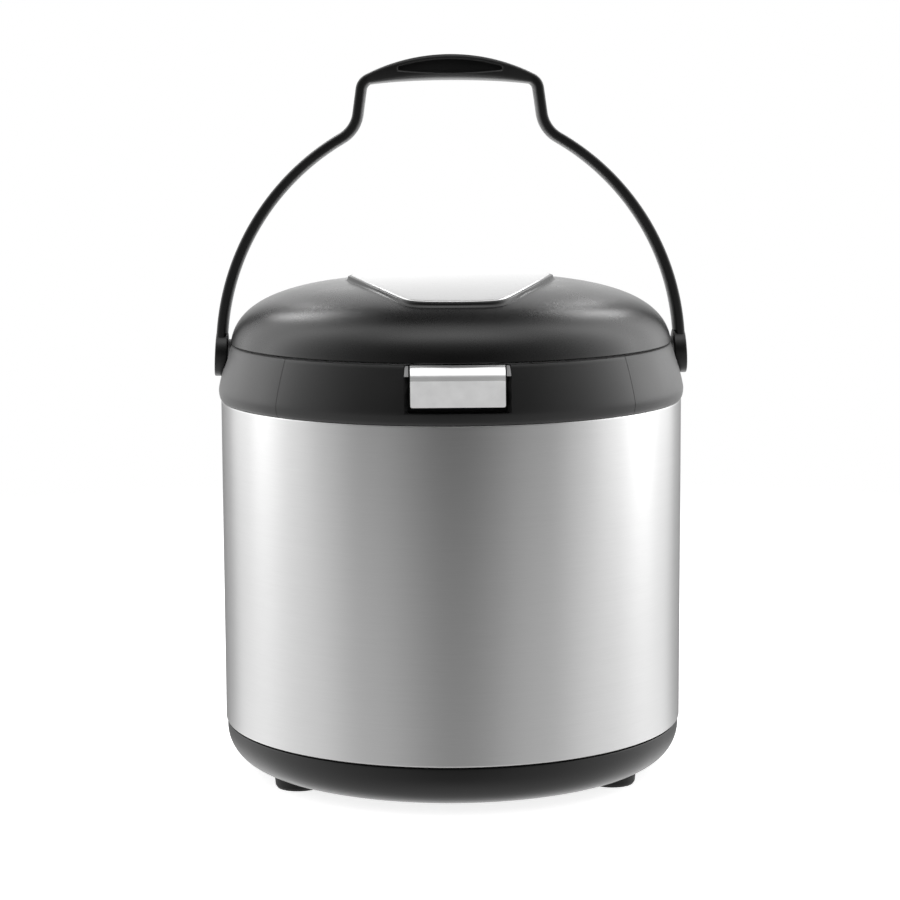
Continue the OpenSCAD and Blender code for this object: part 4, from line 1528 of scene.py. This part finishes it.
@dataclass
class Studio:
    """Pale floor, two small lamps behind, a paper tent for reflections, and the camera, in metres.

    The tent's curves give its level by the turn from the front, 0, to the rear, 1. Its bands are
    parts of a direction along one axis, from 0 to 1 over the band.
    """

    distance: float = 1.583
    height: float = 0.414
    pitch: float = 8.1
    azimuth: float = 1.6
    aim: float = 0.01
    roll: float = 0.28
    lens: float = 108.2
    world_light: float = 0.85
    lamp_power: float = 4.0
    lamp_size: float = 0.5
    lamp_turn: float = 151.0
    lamp_lift: float = 45.0
    lamp_away: float = 1.8
    lamp_aim: float = 0.2
    floor_size: float = 14.0
    floor_white: float = 0.8
    floor_near: float = 0.3
    floor_far: float = 1.1
    tent_radius: float = 2.6
    level: Stops = ((0.0, 0.36), (0.24, 0.64), (0.42, 0.94), (0.6, 1.12), (0.7, 1.0), (0.82, 0.45),
                    (0.92, 0.25), (1.0, 1.0))
    upper: Stops = ((0.0, 0.02), (0.25, 0.28), (0.36, 0.65), (0.46, 1.4), (0.6, 3.0), (0.66, 1.9),
                    (0.75, 1.8), (0.8, 0.8), (0.88, 0.5), (0.94, 1.1), (1.0, 1.7))
    above: Stops = ((0.0, 0.1), (0.18, 0.04), (0.28, 0.3), (0.42, 2.3), (0.5, 1.3), (0.58, 0.0),
                    (0.68, 0.0), (0.77, 0.95), (0.86, 0.8), (0.95, 1.4))
    right_gain: float = 0.15
    rise: Pair = (-0.06, 0.16)
    high: Pair = (0.2, 0.55)
    middle: Pair = (0.6, 0.2)
    under: Pair = (-0.55, -0.85)
    under_level: float = 0.9
    low: Pair = (-0.25, -0.5)
    behind: Pair = (0.2, 0.7)
    behind_level: float = 1.8

    def camera(self) -> None:
        """Place the camera where the photograph was taken from."""
        data = bpy.data.cameras.new("photo_camera")
        data.lens = self.lens
        data.sensor_width = 36.0
        data.clip_start = 0.01
        turn = math.radians(self.azimuth)
        obj = bpy.data.objects.new("photo_camera", data)
        obj.location = (-self.distance * math.sin(turn), -self.distance * math.cos(turn), self.height)
        obj.rotation_euler = (math.radians(90 - self.pitch), math.radians(self.roll),
                              -turn - math.radians(self.aim))
        bpy.context.scene.collection.objects.link(obj)
        bpy.context.scene.camera = obj

    def floor(self) -> None:
        """Pale floor that takes the soft shadow and fades out."""
        floor = add_mesh("studio_floor", bpy.ops.mesh.primitive_plane_add, size=self.floor_size)
        sheet = Sheet("floor_paint")
        seen = sheet.add("LightPath").outputs["Is Camera Ray"]
        away = sheet.add("VectorMath", {0: sheet.place}, operation="LENGTH").outputs["Value"]
        sheet.fill(Base_Color=sheet.tint(sheet.noise(sheet.place, 3.0), (0.88,) * 3, (0.9,) * 3),
                   Roughness=0.9, Specular_IOR_Level=0.1, Emission_Color=WHITE,
                   Emission_Strength=sheet.math("MULTIPLY", seen, self.floor_white),
                   Alpha=sheet.spread(away, 1.0, 0.0, self.floor_near, self.floor_far))
        floor.data.materials.append(sheet.material)
        floor.visible_glossy = False

    def paper(self, sheet: Sheet) -> Socket:
        """Level of the tent's paper in every direction.

        Args:
            sheet: its material.

        Returns:
            The level.
        """
        unit = sheet.add("VectorMath", {0: sheet.place}, operation="NORMALIZE").outputs["Vector"]
        x, y, z = sheet.add("SeparateXYZ", {"Vector": unit}).outputs
        ahead = sheet.math("MULTIPLY", y, -1.0)
        aside = sheet.math("ABSOLUTE", x)
        turn = sheet.math("DIVIDE", sheet.math("ARCTAN2", aside, ahead), math.pi)
        lift = sheet.math("DIVIDE", sheet.math("ARCTAN2", z, ahead), math.pi)
        gain = sheet.math("ADD", sheet.math("MULTIPLY", x, self.right_gain), 1.0)
        upper = sheet.math("MULTIPLY", sheet.curve(turn, self.upper), gain)
        wall = sheet.blend(sheet.curve(turn, self.level), upper, sheet.share(z, self.rise))
        roof = sheet.math("MULTIPLY", sheet.share(z, self.high), sheet.share(aside, self.middle))
        wall = sheet.blend(wall, sheet.curve(lift, self.above), roof)
        wall = sheet.blend(wall, self.under_level, sheet.share(z, self.under))
        rear = sheet.math("MULTIPLY", sheet.share(z, self.low), sheet.share(y, self.behind))
        return sheet.blend(wall, self.behind_level, rear)

    def tent(self) -> None:
        """Paper tent that only reflections see: dim in front, brighter at the sides, overhead and below."""
        tent = add_mesh("studio_tent", bpy.ops.mesh.primitive_ico_sphere_add, subdivisions=4,
                        radius=self.tent_radius)
        sheet = Sheet("tent_paper")
        sheet.fill(Base_Color=(0, 0, 0, 1), Specular_IOR_Level=0.0, Roughness=1.0, Emission_Color=WHITE,
                   Emission_Strength=self.paper(sheet))
        tent.data.materials.append(sheet.material)
        tent.visible_camera = False
        tent.visible_diffuse = False
        tent.visible_transmission = False
        tent.visible_shadow = False

    def lamp(self, name: str, side: int) -> None:
        """Soft square lamp behind the cooker that faces it.

        Args:
            name: its name.
            side: -1 for the left, 1 for the right.
        """
        data = bpy.data.lights.new(name, "AREA")
        data.shape = "RECTANGLE"
        data.size = data.size_y = self.lamp_size
        data.energy = self.lamp_power
        flat = self.lamp_away * cosd(self.lamp_lift)
        x, y = side * flat * sind(self.lamp_turn), -flat * cosd(self.lamp_turn)
        z = self.lamp_away * sind(self.lamp_lift)
        obj = bpy.data.objects.new(name, data)
        obj.location = (x, y, z)
        tilt = math.atan2(math.hypot(x, y), z - self.lamp_aim)
        obj.rotation_euler = (tilt, 0.0, math.atan2(-x, y) + math.pi)
        bpy.context.scene.collection.objects.link(obj)

    def world(self) -> None:
        """White surroundings for the camera and for reflections, dimmer as light."""
        world = bpy.data.worlds.new("studio_world")
        world.use_nodes = True
        graph = Graph(world.node_tree)
        path = graph.add("LightPath").outputs
        seen = graph.math("MAXIMUM", path["Is Camera Ray"], path["Is Glossy Ray"])
        seen = graph.math("MAXIMUM", seen, path["Is Transmission Ray"])
        level = graph.spread(seen, self.world_light, 1.0, 0.0, 1.0)
        back = graph.add("Background", {"Color": WHITE, "Strength": level})
        graph.add("OutputWorld", {"Surface": back.outputs[0]})
        bpy.context.scene.world = world

    def build(self) -> None:
        """Set up everything that isn't the cooker."""
        self.camera()
        self.floor()
        self.tent()
        self.lamp("left_lamp", -1)
        self.lamp("right_lamp", 1)
        self.world()
        bpy.context.scene.view_settings.view_transform = "Standard"


def main() -> None:
    """Build the studio and every sub-assembly in order."""
    logging.basicConfig(level=logging.INFO, format="%(message)s")
    finishes = Finishes()
    Studio().build()
    for unit in (BaseUnit, SteelBody, CollarRing, DomeLid, BailHandle, LatchButton, CookingPot):
        unit().build(finishes)
        LOG.info("built %s", unit.__name__)


if __name__ == "__main__":
    main()
